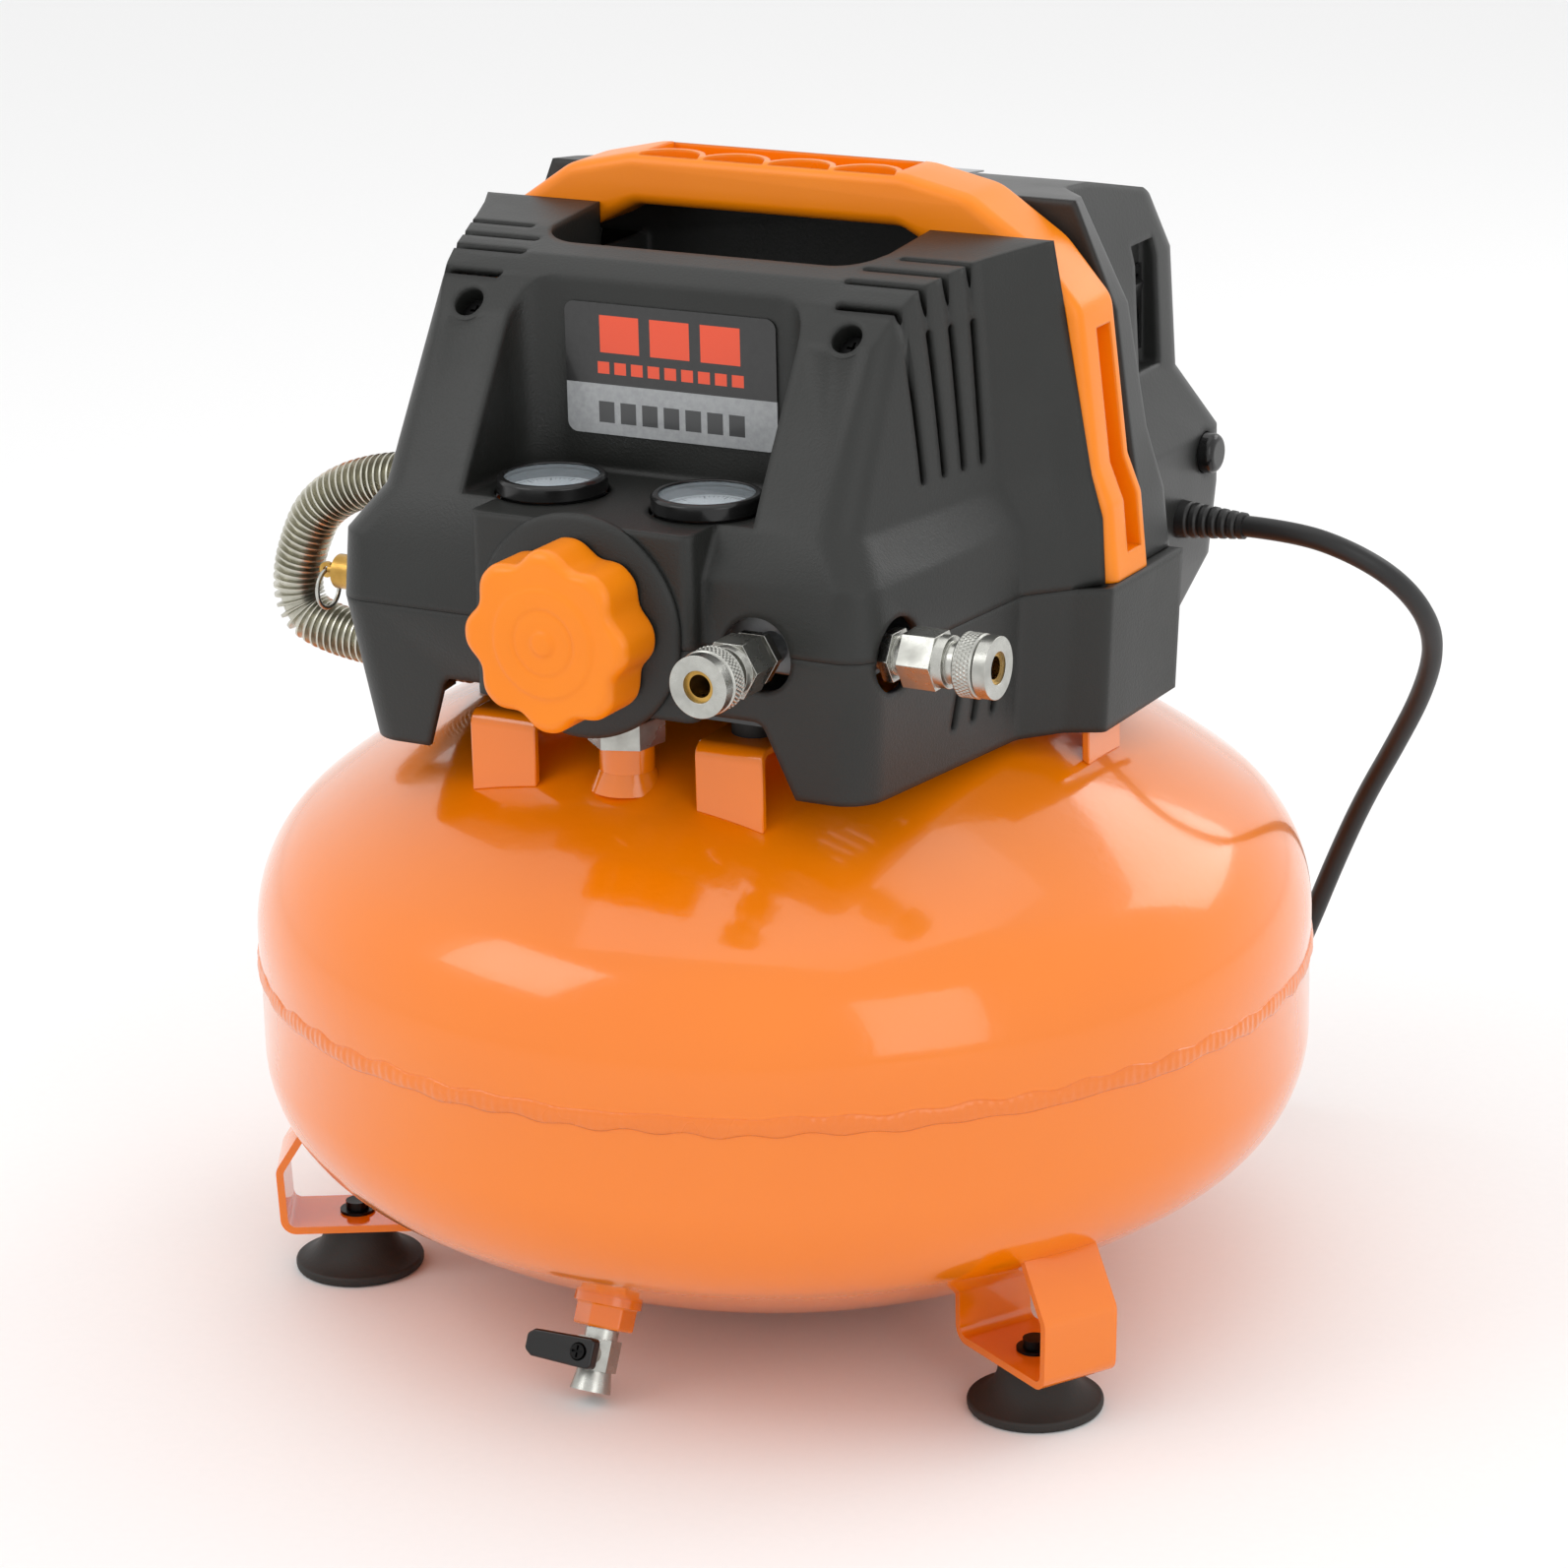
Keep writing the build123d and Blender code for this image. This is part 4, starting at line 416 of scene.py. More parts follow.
def plate_film():
    """Plain silver polyester film, satin with a slight mottling."""
    return metal("silver_polyester_film", "#B4B6B8", "#A2A4A6", 0.0010, 0.00001, 0.3, 0.4)


def floor_paper():
    """Pale seamless paper, plain, with a hardly visible tooth."""
    material, tree, place = started("seamless_studio_paper")
    tooth = add_node(tree, "ShaderNodeTexNoise", Vector=place, Scale=1 / 0.004, Detail=2, Roughness=0.55)
    closed(tree, Base_Color=add_node(tree, "ShaderNodeMix", COLOURS, 2, in_0=tooth, in_6=colour("#F0F0F0"),
                                     in_7=colour("#EDEDED")),
           Roughness=0.85)
    return material


MAKERS = {
    "tank_enamel": tank_enamel, "orange_plastic": orange_plastic, "black_plastic": black_plastic,
    "charcoal_plastic": charcoal_plastic, "rubber": foot_rubber, "zinc_steel": zinc_steel,
    "knurled_steel": zinc_steel, "brass": machined_brass, "ball_chrome": chromed_steel,
    "plate_black": plate_enamel, "cast_aluminium": cast_aluminium, "gauge_black": gloss_plastic,
    "gauge_lens": gauge_glass, "needle": pointer_paint, "switch_black": gloss_plastic,
    "cord_jacket": cord_jacket, "seal": seal_plastic, "iron": cast_iron, "bearing_steel": ground_steel,
    "lamination": ground_steel, "copper_wire": copper_wire, "fan_plastic": fan_plastic,
    "tube_aluminium": tube_aluminium, "black_steel": black_steel, "weld": weld_enamel,
    "label": label_print, "plate_film": plate_film, "floor": floor_paper,
}
MADE = {}


def material_of(kind):
    """The material of a kind, made when it is first needed."""
    maker = MAKERS[kind]
    if maker not in MADE:
        MADE[maker] = maker()
    return MADE[maker]


# ------------------------------------------------------------------- meshes
def placed(name, mesh, kind, body=BODY, replaced=(), smooth=40.0):
    """An object of a finished mesh, which rides a body and may stand for CAD nodes.

    Edges sharper than smooth degrees stay crisp.
    """
    mesh.materials.clear()
    mesh.materials.append(material_of(kind))
    mesh.shade_smooth()
    mesh.set_sharp_from_angle(angle=radians(smooth))
    piece = bpy.data.objects.new(name, mesh)
    bpy.context.scene.collection.objects.link(piece)
    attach(piece, body)
    if replaced:
        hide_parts(*replaced)
    return piece


def grid_mesh(name, points, around=False, along=False, capped=False):
    """A mesh from an array of points, rows by columns, joined round its columns, its rows, or both."""
    rows, columns = points.shape[:2]
    index = np.arange(rows * columns).reshape(rows, columns)
    down = np.arange(rows if along else rows - 1)
    across = np.arange(columns if around else columns - 1)
    i, j = np.meshgrid(down, across, indexing="ij")
    ni, nj = (i + 1) % rows, (j + 1) % columns
    faces = np.stack([index[i, j], index[i, nj], index[ni, nj], index[ni, j]], -1).reshape(-1, 4).tolist()
    if capped:
        faces += [index[0][::-1].tolist(), index[-1].tolist()]
    mesh = bpy.data.meshes.new(name)
    mesh.from_pydata(points.reshape(-1, 3).tolist(), [], faces)
    tidy = bmesh.new()
    tidy.from_mesh(mesh)
    bmesh.ops.remove_doubles(tidy, verts=tidy.verts, dist=1e-6)
    bmesh.ops.recalc_face_normals(tidy, faces=tidy.faces)
    tidy.to_mesh(mesh)
    tidy.free()
    return mesh


def turned(profile, segments, centre=(0, 0), swing=None):
    """A profile of (radius, height) rows turned about +Z: x and y are the centre's plus the radius times the cosine
    and sine of the angle. swing may change each radius and height by its angle."""
    angle = np.linspace(0, 2 * pi, segments, endpoint=False)
    radius, height = np.asarray(profile, float).T
    radii = np.repeat(radius[:, None], segments, 1)
    heights = np.repeat(height[:, None], segments, 1)
    if swing:
        radii, heights = swing(radii, heights, angle[None, :])
    return np.stack([centre[0] + radii * np.cos(angle), centre[1] + radii * np.sin(angle), heights], -1)


def softened(node, width, kind, body=BODY, segments=2, name=None):
    """A copy of a CAD node with its triangles merged and its edges rounded, as a moulding's are."""
    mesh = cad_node(node).data.copy()
    work = bmesh.new()
    work.from_mesh(mesh)
    bmesh.ops.remove_doubles(work, verts=work.verts, dist=2e-6)
    bmesh.ops.dissolve_limit(work, angle_limit=radians(1.0), verts=work.verts, edges=work.edges)
    work.to_mesh(mesh)
    work.free()
    piece = placed(name or node + "_moulding", mesh, kind, body, (node,))
    bevel = piece.modifiers.new("rounded_edges", "BEVEL")
    bevel.width, bevel.segments = width, segments
    bevel.limit_method, bevel.angle_limit = "ANGLE", radians(32)
    bevel.use_clamp_overlap = True
    return piece


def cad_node(name):
    """A CAD node's object."""
    return FRAME["nodes"][name]


def spline_points(points, resolution=12):
    """Points read along the smooth curve that a list of control points pulls."""
    curve = bpy.data.curves.new("route", "CURVE")
    curve.dimensions = "3D"
    spline = curve.splines.new("NURBS")
    spline.points.add(len(points) - 1)
    for slot, point in zip(spline.points, points):
        slot.co = (*point, 1.0)
    spline.order_u, spline.use_endpoint_u, spline.resolution_u = 3, True, resolution
    holder = bpy.data.objects.new("route", curve)
    mesh = bpy.data.meshes.new_from_object(holder)
    found = np.array([vertex.co[:] for vertex in mesh.vertices])
    bpy.data.objects.remove(holder)
    return found


# -------------------------------------------------------------------- camera
CAMERA = {"azimuth": 29.04, "elevation": 18.03, "distance": 1.8731, "roll": -1.31,
          "target": (0.00106, 0.0, 0.19827), "lens": 109.87}
FLOOR_REACH = 6.0
LIGHTS = (      # name, place, width and depth, watts
    ("key_light", (-1.3, -1.5, 1.9), (1.3, 1.0), 9), ("fill_light", (1.9, -1.2, 1.0), (1.0, 1.6), 6),
    ("top_light", (0.0, 0.1, 2.3), (1.9, 1.9), 6), ("rim_light", (0.9, 1.7, 1.4), (1.2, 0.9), 7))
LIGHTS_AIM = Vector((0, 0, 0.2))


class COMPRESSOR_OT_stage(bpy.types.Operator):
    """Pale floor, soft lights and the camera"""
    bl_idname = "compressor.stage"
    bl_label = "Stage"

    def execute(self, context):
        scene = context.scene
        turn, rise, roll = (radians(CAMERA[key]) for key in ("azimuth", "elevation", "roll"))
        right = Vector((cos(turn), sin(turn), 0))
        up = Vector((-sin(turn) * sin(rise), cos(turn) * sin(rise), cos(rise)))
        back = Vector((sin(turn) * cos(rise), -cos(turn) * cos(rise), sin(rise)))
        across = right * cos(roll) + up * sin(roll)
        upward = up * cos(roll) - right * sin(roll)
        camera = bpy.data.objects.new("camera", bpy.data.cameras.new("camera"))
        camera.data.lens, camera.data.sensor_width = CAMERA["lens"], 36
        camera.data.clip_end = 20
        axes = Matrix((across, upward, back)).transposed().to_4x4()
        camera.matrix_world = Matrix.Translation(Vector(CAMERA["target"]) + back * CAMERA["distance"]) @ axes
        scene.collection.objects.link(camera)
        scene.camera = camera

        floor = bpy.data.meshes.new("floor")
        corners = ((-1, -1), (1, -1), (1, 1), (-1, 1))
        floor.from_pydata([(FLOOR_REACH * x, FLOOR_REACH * y, 0) for x, y in corners], [], [(0, 1, 2, 3)])
        floor.materials.append(material_of("floor"))
        sheet = bpy.data.objects.new("floor", floor)
        scene.collection.objects.link(sheet)

        for name, place, size, power in LIGHTS:
            lamp = bpy.data.objects.new(name, bpy.data.lights.new(name, "AREA"))
            lamp.data.shape, lamp.data.size, lamp.data.size_y = "RECTANGLE", *size
            lamp.data.energy = power
            lamp.location = place
            lamp.rotation_euler = (LIGHTS_AIM - Vector(place)).to_track_quat("-Z", "Y").to_euler()
            scene.collection.objects.link(lamp)

        world = bpy.data.worlds.new("studio")
        world.use_nodes = True
        sky = world.node_tree.nodes["Background"]
        sky.inputs["Color"].default_value = (1, 1, 1, 1)
        sky.inputs["Strength"].default_value = 1.0
        scene.world = world
        scene.view_settings.view_transform = "Standard"
        return {"FINISHED"}


# ---------------------------------------------------------------------- cord
CORD_RADIUS = 0.00425
CORD_ROUTE = [
    (0.146, 0.116, 0.290), (0.168, 0.116, 0.290), (0.189, 0.120, 0.2835), (0.204, 0.131, 0.271),
    (0.210, 0.147, 0.2535), (0.207, 0.165, 0.234), (0.196, 0.181, 0.210), (0.180, 0.194, 0.183),
    (0.162, 0.204, 0.153), (0.146, 0.212, 0.120), (0.132, 0.218, 0.087), (0.117, 0.2225, 0.056),
    (0.096, 0.2265, 0.030), (0.071, 0.230, 0.013), (0.044, 0.233, 0.0055), (0.016, 0.2354, CORD_RADIUS),
    (-0.012, 0.2373, CORD_RADIUS), (-0.040, 0.2386, CORD_RADIUS), (-0.070, 0.23925, CORD_RADIUS),
]
COIL_CENTRE = (-0.104, 0.188)
COIL_TURNS = [(0.05125, CORD_RADIUS), (0.05125, 3 * CORD_RADIUS), (0.04275, 3 * CORD_RADIUS),
              (0.04275, CORD_RADIUS)]
POINTS_PER_TURN = 18
PASSING_SHARE = 0.2        # the last part of a turn, over which it passes to the next


def coil_route():
    """Turns about the coil's centre, each passing to the next over its last fifth."""
    points = []
    for turn, (radius, height) in enumerate(COIL_TURNS):
        after = COIL_TURNS[min(turn + 1, len(COIL_TURNS) - 1)]
        for k in range(POINTS_PER_TURN):
            done = k / POINTS_PER_TURN
            angle = pi / 2 + 2 * pi * done
            over = max(0.0, (done - (1 - PASSING_SHARE)) / PASSING_SHARE)
            r = radius + (after[0] - radius) * over
            z = height + (after[1] - height) * over
            points.append((COIL_CENTRE[0] + r * cos(angle), COIL_CENTRE[1] + r * sin(angle), z))
    return points


BOOT_START = 0.1185        # X of the boot's root
BOOT_ROOT, BOOT_TIP = 0.0076, 0.0052
BOOT_GROOVE = 0.0006
BOOT_RIBS = 7
BOOT_RIBBED = (0.12, 0.92)


def boot_surface(end, centre_y, centre_z):
    """The cord's boot, turned about a line along X. Its radius falls evenly from the root's to the tip's, less a
    groove as deep as the positive half of a sine wave with one wave per rib, over its ribbed stretch."""
    along = np.linspace(0, 1, 90)
    reach = BOOT_START + (end - BOOT_START) * along
    wave = np.where((along > BOOT_RIBBED[0]) & (along < BOOT_RIBBED[1]), np.sin(along * 2 * pi * BOOT_RIBS), 0.0)
    radius = BOOT_ROOT + (BOOT_TIP - BOOT_ROOT) * along - BOOT_GROOVE * np.clip(wave, 0, 1)
    radius = np.r_[[0.0, 0.0062], radius, [0.0045, 0.0]]
    reach = np.r_[[reach[0] - 0.006] * 2, reach, [reach[-1]] * 2]
    ring = turned(np.stack([radius, reach], -1), 48)
    return np.stack([ring[..., 2], centre_y + ring[..., 0], centre_z + ring[..., 1]], -1)


class COMPRESSOR_OT_cord(bpy.types.Operator):
    """Mains cord, its coil, plug and strain relief"""
    bl_idname = "compressor.cord"
    bl_label = "Mains cord"

    def execute(self, context):
        curve = bpy.data.curves.new("mains_cord", "CURVE")
        curve.dimensions = "3D"
        curve.bevel_depth, curve.bevel_resolution, curve.use_fill_caps = CORD_RADIUS, 5, True
        points = CORD_ROUTE + coil_route()
        spline = curve.splines.new("NURBS")
        spline.points.add(len(points) - 1)
        for slot, point in zip(spline.points, points):
            slot.co = (*point, 1.0)
        spline.order_u, spline.use_endpoint_u, spline.resolution_u = 3, True, 10
        curve.materials.append(material_of("cord_jacket"))
        cord = bpy.data.objects.new("mains_cord", curve)
        context.scene.collection.objects.link(cord)
        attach(cord, BODY)
        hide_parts("power_cord", "power_cord_coil")

        plug = softened("power_plug", 0.0008, "cord_jacket", name="moulded_plug")
        low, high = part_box("strain_relief")
        centre_y, centre_z = (low[1] + high[1]) / 2, (low[2] + high[2]) / 2
        points = boot_surface(high[0], centre_y, centre_z)
        relief = placed("ribbed_strain_relief", grid_mesh("ribbed_strain_relief", points, around=True, capped=True),
                        "cord_jacket", replaced=("strain_relief",))
        return {"FINISHED"}


# ---------------------------------------------------------------------- tank
def dish(radius, shoulder, knuckle, crown, sign, steps=40):
    """A dished end from its shoulder to its pole, as (radius, height) rows.

    The knuckle arc turns about a centre set in from the wall by its own radius. The crown arc turns about a
    point on the axis, as far beyond the shoulder as makes the two arcs meet with the same slope. sign is 1 for
    the upper end and -1 for the lower.
    """
    offset = radius - knuckle
    drop = sqrt((crown - knuckle) ** 2 - offset ** 2)
    meet = np.arctan2(drop, offset)
    knuckle_arc = np.linspace(0, meet, steps)
    crown_arc = np.linspace(meet, pi / 2, 3 * steps)[1:]
    r = np.r_[offset + knuckle * np.cos(knuckle_arc), crown * np.cos(crown_arc)]
    z = np.r_[knuckle * np.sin(knuckle_arc), crown * np.sin(crown_arc) - drop]
    r[-1] = 0.0
    return np.stack([r, shoulder + sign * z], -1)


def weld_surface(size):
    """The weld bead: a ring whose section is an ellipse, of the weld's height by its half width.

    The height is scaled by a sum of three sine waves round the ring, the finest of 330 ripples like those that a
    torch leaves. A slower wave scales the width, and two more move the whole section up and down.
    """
    angle = np.linspace(0, 2 * pi, 2400, endpoint=False)[:, None]
    turn = np.linspace(0, 2 * pi, 14, endpoint=False)[None, :]
    ripple = 0.72 + 0.10 * np.sin(angle * 330 + 1.8 * np.cos(turn)) + 0.07 * np.sin(angle * 97) \
        + 0.05 * np.sin(angle * 41 + 1)
    wander = 0.0004 * np.sin(angle * 23) + 0.0003 * np.sin(angle * 61 + 2)
    half_width = size.weld_width * (0.9 + 0.12 * np.sin(angle * 57))
    r = size.upper_radius - 0.0002 + size.weld_proud * ripple * np.cos(turn)
    z = size.seam_height - 0.0025 + wander + half_width * np.sin(turn)
    return np.stack([r * np.cos(angle), r * np.sin(angle), z], -1)


class COMPRESSOR_OT_tank(bpy.types.Operator):
    """Dished tank skin and the weld round its seam"""
    bl_idname = "compressor.tank"
    bl_label = "Tank"

    def execute(self, context):
        size = context.scene.compressor_tank
        upper = dish(size.upper_radius, size.upper_shoulder, size.upper_knuckle, size.upper_crown, 1)
        lower = dish(size.lower_radius, size.lower_shoulder, size.lower_knuckle, size.lower_crown, -1)[::-1]
        seam = [(size.lower_radius, size.seam_height - 0.004), (size.upper_radius, size.seam_height - 0.002)]
        skin = grid_mesh("tank_skin", turned(np.concatenate([lower, seam, upper]), 256), around=True)
        piece = placed("tank_skin", skin, "tank_enamel", replaced=("tank_upper_shell", "tank_lower_shell"))

        bead = grid_mesh("girth_weld_bead", weld_surface(size), around=True, along=True)
        piece = placed("girth_weld_bead", bead, "weld", replaced=("tank_girth_weld",), smooth=80)
        return {"FINISHED"}


# ------------------------------------------------------------- cooling tube
TUBE_ROUTE = [(-0.110, -0.045, 0.320), (-0.172, -0.045, 0.320), (-0.198, -0.045, 0.268),
              (-0.180, -0.045, 0.248), (-0.110, -0.045, 0.248)]
FIN_SHARE = (0.34, 0.72)       # the part of each pitch that is fin
ROWS_PER_FIN = 8
ACROSS_LOOP = np.array((0.0, 1.0, 0.0))


def finned_surface(size):
    """A circle carried along the tube's route: its radius is the fin's over the middle of each pitch and the root's
    elsewhere, and it stands square to the route's direction."""
    route = spline_points(TUBE_ROUTE, 24)
    walked = np.r_[0, np.cumsum(np.linalg.norm(np.diff(route, axis=0), axis=1))]
    at = np.linspace(0, walked[-1], int(walked[-1] / size.pitch) * ROWS_PER_FIN)
    line = np.stack([np.interp(at, walked, route[:, k]) for k in range(3)], -1)
    run = np.gradient(line, axis=0)
    run /= np.linalg.norm(run, axis=1)[:, None]
    side = np.cross(run, ACROSS_LOOP)
    phase = (at / size.pitch) % 1.0
    radius = np.where((phase > FIN_SHARE[0]) & (phase < FIN_SHARE[1]), size.tip, size.root)
    angle = np.linspace(0, 2 * pi, 40, endpoint=False)[None, :, None]
    return line[:, None] + radius[:, None, None] * (side[:, None] * np.cos(angle) + ACROSS_LOOP * np.sin(angle))


class COMPRESSOR_OT_cooling_tube(bpy.types.Operator):
    """Finned tube that cools the air on its way to the tank"""
    bl_idname = "compressor.cooling_tube"
    bl_label = "Cooling tube"

    def execute(self, context):
        points = finned_surface(context.scene.compressor_tube)
        piece = placed("finned_cooling_tube", grid_mesh("finned_cooling_tube", points, around=True, capped=True),
                       "tube_aluminium", replaced=("finned_discharge_tube",), smooth=30)
        return {"FINISHED"}


# ---------------------------------------------------------------------- knob
FACE_EDGE = 0.86               # share of the knob's radius where its face turns into its rim
NOTCH_EDGE = 0.66              # share of the radius where the finger notches fade out
STEP_SHARPNESS = 90
FACE_SINK = 0.0012
RIM_DEPTH = 0.0042
ESCUTCHEON_WALL = -0.146
ESCUTCHEON_HOLE = 0.0125


def knob_profile(radius, depth):
    """The knob from the middle of its face to the middle of its back, as (radius, height) rows.

    The face is a shallow parabola with a raised disc and a raised boss, each a smooth step, and a groove shaped
    like a bell curve. The rim is a quarter of an ellipse, and the skirt and the back are straight.
    """
    share = np.linspace(0, FACE_EDGE, 60)
    disc = 0.0009 / (1 + np.exp((share - 0.60) * STEP_SHARPNESS))
    groove = 0.0005 * np.exp(-((share - 0.36) / 0.018) ** 2)
    boss = 0.0012 / (1 + np.exp((share - 0.13) * STEP_SHARPNESS))
    bowl = 0.0010 * (1 - (share / FACE_EDGE) ** 2)
    face = np.stack([share * radius, FACE_SINK + bowl - (disc - groove) - boss], -1)
    turn = np.linspace(0, pi / 2, 12)[1:]
    rim = np.stack([radius * FACE_EDGE + radius * (1 - FACE_EDGE) * np.sin(turn),
                    FACE_SINK + RIM_DEPTH * (1 - np.cos(turn))], -1)
    skirt = np.stack([np.full(14, radius), np.linspace(0.0060, depth - 0.0010, 14)], -1)
    back = [(radius * 0.985, depth), (radius * 0.5, depth), (0.0, depth)]
    return np.concatenate([face, rim, skirt, back])


class COMPRESSOR_OT_knob(bpy.types.Operator):
    """Lobed regulator knob"""
    bl_idname = "compressor.knob"
    bl_label = "Regulator knob"

    def execute(self, context):
        size = context.scene.compressor_knob
        low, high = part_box("regulator_knob")
        face = low[1]
        centre = ((low[0] + high[0]) / 2, (low[2] + high[2]) / 2)

        def lobed(radius, height, angle):
            """Finger notches: a raised cosine round the rim, to a power that rounds the lobes and narrows the
            notches, times a share that fades towards the centre."""
            scallop = (0.5 - 0.5 * np.cos(angle * size.lobes)) ** 1.4
            share = np.clip((radius / size.radius - NOTCH_EDGE) / (1 - NOTCH_EDGE), 0, 1) ** 1.3
            return radius - size.notch * scallop * share, height + 0.0008 * scallop * share

        ring = turned(knob_profile(size.radius, high[1] - face), 320, swing=lobed)
        points = np.stack([centre[0] + ring[..., 0], face + ring[..., 2], centre[1] + ring[..., 1]], -1)
        piece = placed("lobed_regulator_knob", grid_mesh("lobed_regulator_knob", points, around=True),
                       "orange_plastic", body="knob", replaced=("regulator_knob",), smooth=60)

        ledge = [(ESCUTCHEON_HOLE, 0.0), (0.0405, 0.0), (0.0418, 0.0008), (0.0420, 0.0030),
                 (ESCUTCHEON_HOLE, 0.0030)]
        ring = turned(ledge, 128)
        points = np.stack([centre[0] + ring[..., 0], ESCUTCHEON_WALL - 0.0026 + ring[..., 2],
                           centre[1] + ring[..., 1]], -1)
        piece = placed("knob_escutcheon", grid_mesh("knob_escutcheon", points, around=True, along=True),
                       "black_plastic")
        return {"FINISHED"}


# ------------------------------------------------------------------- housing
PLATE_HALF_WIDTH = 0.05
PLATE_FRONT, PLATE_BACK = (0.060, 0.4317), (0.082, 0.42925)        # y and z, along the cover's sloping top
PLATE_THICKNESS = 0.0007
LABEL_HALF_WIDTH, LABEL_BOTTOM, LABEL_TOP = 0.0445, 0.3535, 0.4030
LABEL_CORNER = 0.004
LABEL_WALL = -0.0761
LABEL_THICKNESS = 0.0008


def label_surface():
    """The front label: two layers of one outline, a thickness apart. The outline is a quarter circle about each
    corner's centre, a corner's radius in from both edges."""
    x, low, high = LABEL_HALF_WIDTH - LABEL_CORNER, LABEL_BOTTOM + LABEL_CORNER, LABEL_TOP - LABEL_CORNER
    centres = np.array([(x, low), (x, high), (-x, high), (-x, low)])[:, None]
    turn = np.radians(np.array([-90, 0, 90, 180])[:, None] + np.linspace(0, 90, 9))
    outline = (centres + LABEL_CORNER * np.stack([np.cos(turn), np.sin(turn)], -1)).reshape(-1, 2)
    return np.array([np.stack([outline[:, 0], np.full(len(outline), y), outline[:, 1]], -1)
                     for y in (LABEL_WALL, LABEL_WALL - LABEL_THICKNESS)])


class COMPRESSOR_OT_housing(bpy.types.Operator):
    """Front hood, lower shroud, rear cover, handle and printed labels"""
    bl_idname = "compressor.housing"
    bl_label = "Housing"

    def execute(self, context):
        softened("front_shroud", 0.0016, "black_plastic", segments=3)
        softened("lower_shroud", 0.0012, "black_plastic")
        softened("rear_cover", 0.0016, "charcoal_plastic", segments=3)
        softened("carry_handle", 0.0026, "orange_plastic", segments=4)

        outline = [(x, *edge) for x, edge in ((-PLATE_HALF_WIDTH, PLATE_FRONT), (PLATE_HALF_WIDTH, PLATE_FRONT),
                                              (PLATE_HALF_WIDTH, PLATE_BACK), (-PLATE_HALF_WIDTH, PLATE_BACK))]
        layers = np.array([outline, outline])
        layers[1, :, 2] += PLATE_THICKNESS
        plate = placed("rear_data_plate", grid_mesh("rear_data_plate", layers, around=True, capped=True),
                       "plate_film")

        piece = placed("front_label", grid_mesh("front_label", label_surface(), around=True, capped=True),
                       "label")
        return {"FINISHED"}


# ------------------------------------------------------------------ fittings
SLEEVE_RADIUS, SLEEVE_BORE = 0.0118, 0.00766
KNURL_STARTS, KNURL_LEAN = 22, 9
KNURL_DEPTH = 0.0005
KNURLED_BAND = (0.15, 0.85)


def knurl(radius, height, angle):
    """Two sets of crossing helical grooves on the outer wall: the product of the sizes of two sines, one leaning
    each way as the height grows."""
    cross = np.abs(np.sin(angle * KNURL_STARTS + height * KNURL_LEAN)) \
        * np.abs(np.sin(angle * KNURL_STARTS - height * KNURL_LEAN))
    band = (radius > SLEEVE_RADIUS * 0.985) & (height > KNURLED_BAND[0]) & (height < KNURLED_BAND[1])
    return radius - np.where(band, KNURL_DEPTH * (1 - cross), 0.0), height


def sleeve_surface(low, high, axis, sign):
    """A coupler's sleeve along an axis, with its height from 0 to 1 stretched over the CAD sleeve's length. Its
    outer radius is full but for a bell-shaped drop at each end, and its bore is straight."""
    along = np.linspace(0, 1, 40)
    drop = 0.07 * np.exp(-(along / 0.05) ** 2) + 0.07 * np.exp(-((1 - along) / 0.05) ** 2)
    wall = np.stack([SLEEVE_RADIUS * (1 - drop), along], -1)
    ring = turned(np.concatenate([[(SLEEVE_BORE, 0.0)], wall, [(SLEEVE_BORE, 1.0)]]), 352, swing=knurl)
    start, end = (high[axis], low[axis]) if sign < 0 else (low[axis], high[axis])
    points = np.empty_like(ring)
    points[..., axis] = start + (end - start) * ring[..., 2]
    for source, target in enumerate(k for k in range(3) if k != axis):
        points[..., target] = (low[target] + high[target]) / 2 + ring[..., source]
    return points


class COMPRESSOR_OT_couplers(bpy.types.Operator):
    """Hose couplers with knurled sleeves"""
    bl_idname = "compressor.couplers"
    bl_label = "Couplers"

    def execute(self, context):
        for place, axis, sign in (("front", 1, -1), ("side", 0, 1)):
            softened("coupler_body_" + place, 0.0005, "zinc_steel")
            node = "coupler_sleeve_" + place
            points = sleeve_surface(*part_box(node), axis, sign)
            piece = placed("knurled_" + node, grid_mesh(node, points, around=True, along=True),
                           "knurled_steel", body=place + "_sleeve", replaced=(node,), smooth=50)
        return {"FINISHED"}


DIAL_RADIUS = 0.0176
PRINT_LIFT = (0.0001, 0.00035)         # under and over side of the printed film, above the CAD dial


class COMPRESSOR_OT_gauges(bpy.types.Operator):
    """Gauge bezels and printed dials"""
    bl_idname = "compressor.gauges"
    bl_label = "Gauges"

    def execute(self, context):
        softened("gauge_cases", 0.0007, "gauge_black", segments=3)
        low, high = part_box("gauge_dials")
        reach = (high[1] - low[1]) / 2
        under, over = (high[2] + lift for lift in PRINT_LIFT)
        profile = [(0.0, over), (DIAL_RADIUS, over), (DIAL_RADIUS, under), (0.0, under)]
        for name, x in (("left", low[0] + reach), ("right", high[0] - reach)):
            centre = (x, (low[1] + high[1]) / 2, 0.0)
            mesh = grid_mesh(name + "_dial_print", turned(profile, 96, centre[:2]), around=True)
            piece = placed(name + "_dial_print", mesh, "gauge_black")
            piece.data.materials[0] = dial_print(name + "_printed_dial", centre)
        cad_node("gauge_dials").data.materials[0] = bpy.data.materials["left_printed_dial"]
        return {"FINISHED"}


ROUNDED_NODES = (              # CAD pieces that only need their edges rounded, and how wide
    ("rubber_feet", 0.0008), ("drain_lever", 0.0004), ("pump_brackets", 0.0006),
    ("foot_bracket_front_left", 0.0007), ("foot_bracket_front_right", 0.0007), ("foot_bracket_rear", 0.0007),
    ("manifold", 0.0006), ("safety_valve_body", 0.0003))


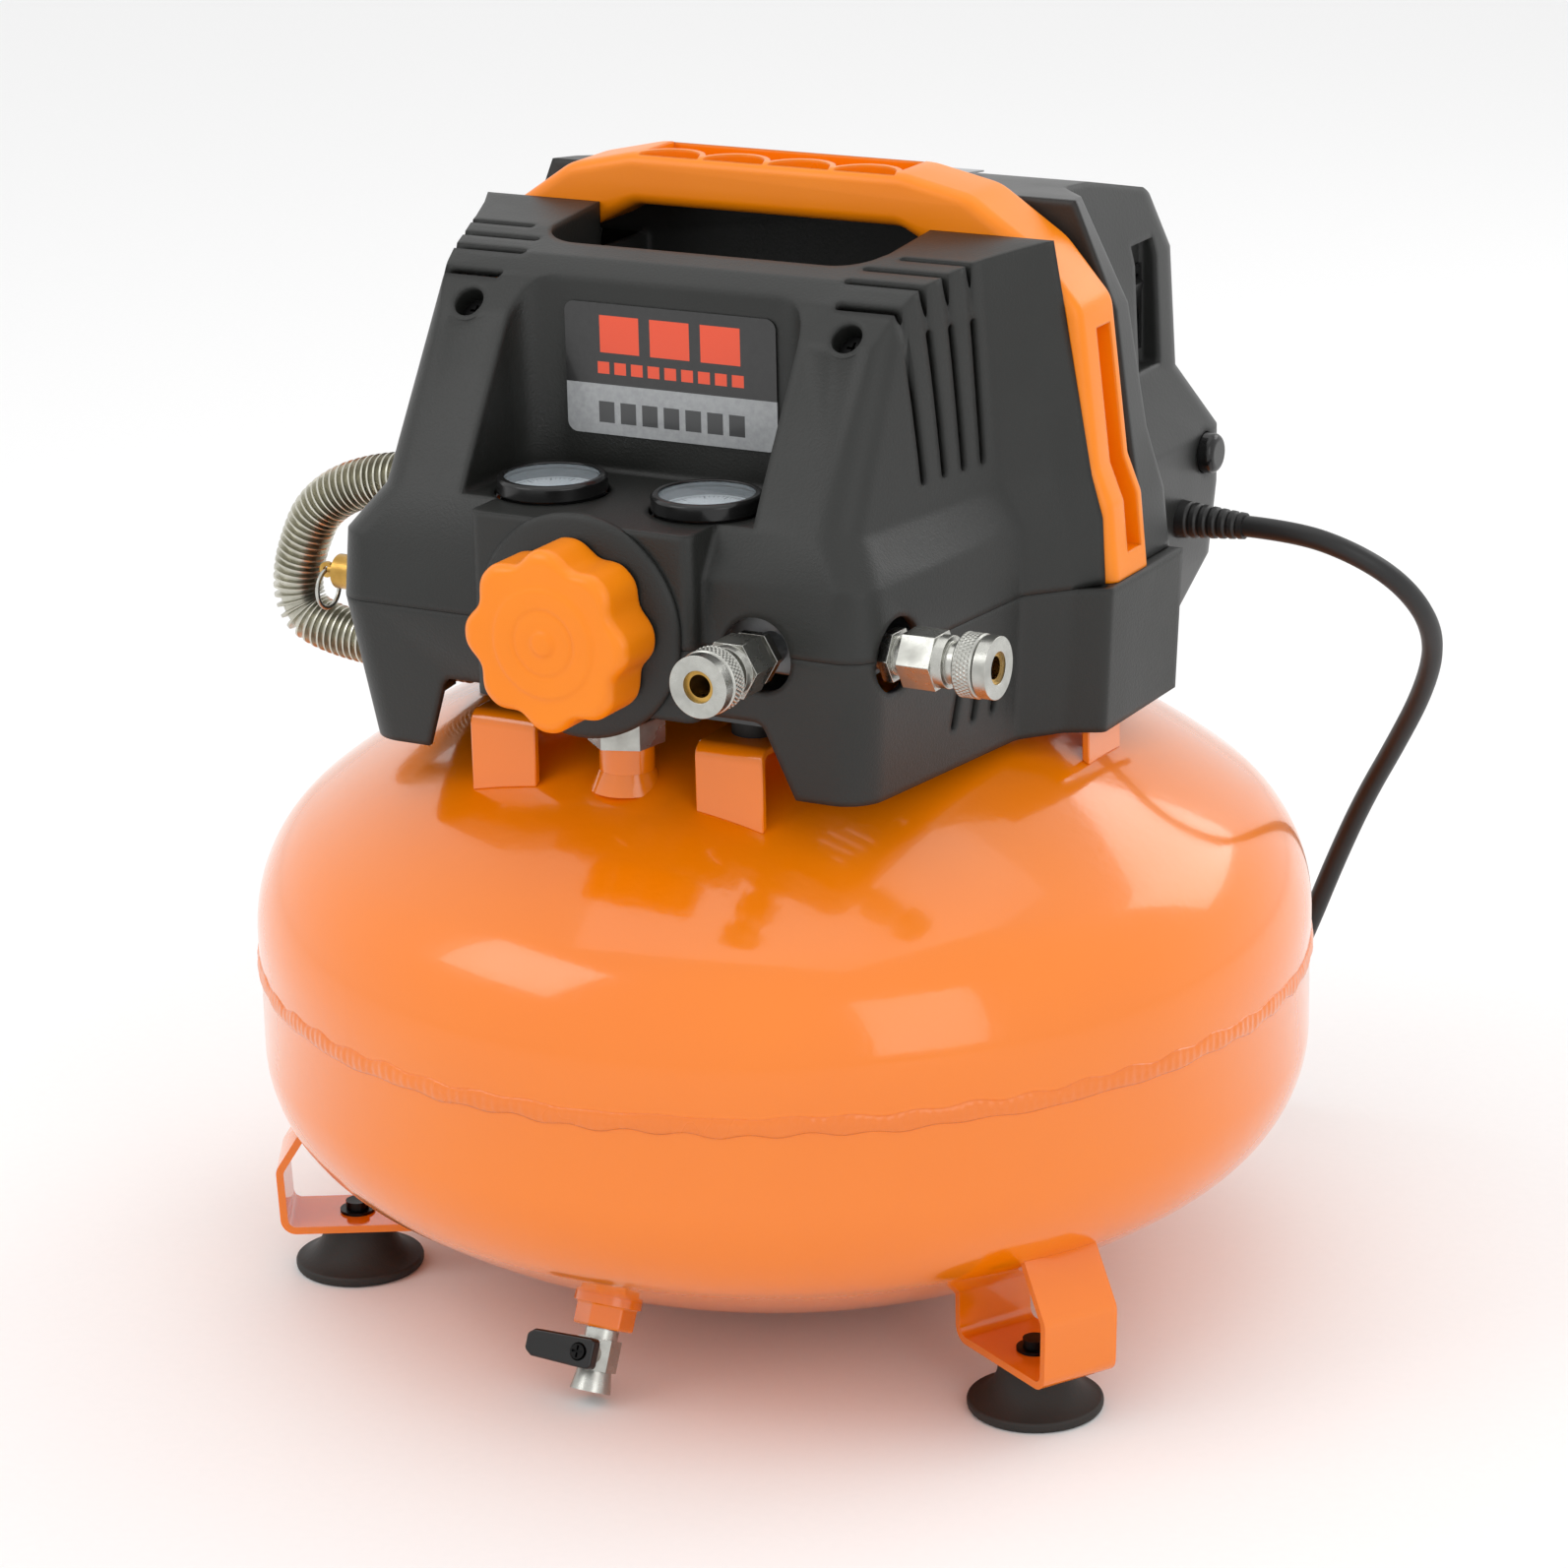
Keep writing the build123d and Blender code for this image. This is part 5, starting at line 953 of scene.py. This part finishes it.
class COMPRESSOR_OT_carried_over(bpy.types.Operator):
    """Materials of the remaining CAD pieces, and the rounded edges of some"""
    bl_idname = "compressor.carried_over"
    bl_label = "Remaining pieces"

    def execute(self, context):
        slots = {entry["node"]: entry["material_slot"] for entry in FRAME["record"]["subparts"]}
        for name, node in FRAME["nodes"].items():
            if slots[name] in MAKERS:
                for index in range(len(node.material_slots)):
                    node.material_slots[index].material = material_of(slots[name])
        for node, width in ROUNDED_NODES:
            bodies = FRAME["record"]["behaviour"]["bodies"]
            body = next(key for key, names in bodies.items() if node in names)
            piece = softened(node, width, slots[node], body=body)
        return {"FINISHED"}


class COMPRESSOR_PT_panel(bpy.types.Panel):
    """Buttons that build each group"""
    bl_idname = "COMPRESSOR_PT_panel"
    bl_label = "Compressor"
    bl_space_type = "VIEW_3D"
    bl_region_type = "UI"
    bl_category = "Compressor"

    def draw(self, context):
        for group in SETTINGS:
            settings = getattr(context.scene, group)
            for key in settings.bl_rna.properties.keys():
                if key not in ("rna_type", "name"):
                    self.layout.prop(settings, key)
        for operator in OPERATORS:
            self.layout.operator(operator.bl_idname)


OPERATORS = (COMPRESSOR_OT_stage, COMPRESSOR_OT_cord, COMPRESSOR_OT_tank, COMPRESSOR_OT_cooling_tube,
             COMPRESSOR_OT_knob, COMPRESSOR_OT_housing, COMPRESSOR_OT_couplers, COMPRESSOR_OT_gauges,
             COMPRESSOR_OT_carried_over)
SETTINGS = {"compressor_tank": TankSettings, "compressor_knob": KnobSettings, "compressor_tube": TubeSettings,
            "compressor_finish": FinishSettings}


def register():
    """Adds the settings, the operators and the panel."""
    for name, group in SETTINGS.items():
        bpy.utils.register_class(group)
        setattr(bpy.types.Scene, name, bpy.props.PointerProperty(type=group))
    for item in (*OPERATORS, COMPRESSOR_PT_panel):
        bpy.utils.register_class(item)


def unregister():
    """Takes them away again."""
    for item in (COMPRESSOR_PT_panel, *reversed(OPERATORS)):
        bpy.utils.unregister_class(item)
    for name, group in SETTINGS.items():
        delattr(bpy.types.Scene, name)
        bpy.utils.unregister_class(group)


def main():
    """Builds every group over the frame."""
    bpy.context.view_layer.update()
    register()
    bpy.ops.compressor.stage()
    bpy.ops.compressor.cord()
    bpy.ops.compressor.tank()
    bpy.ops.compressor.cooling_tube()
    bpy.ops.compressor.knob()
    bpy.ops.compressor.housing()
    bpy.ops.compressor.couplers()
    bpy.ops.compressor.gauges()
    bpy.ops.compressor.carried_over()


if __name__ == "__main__":
    main()
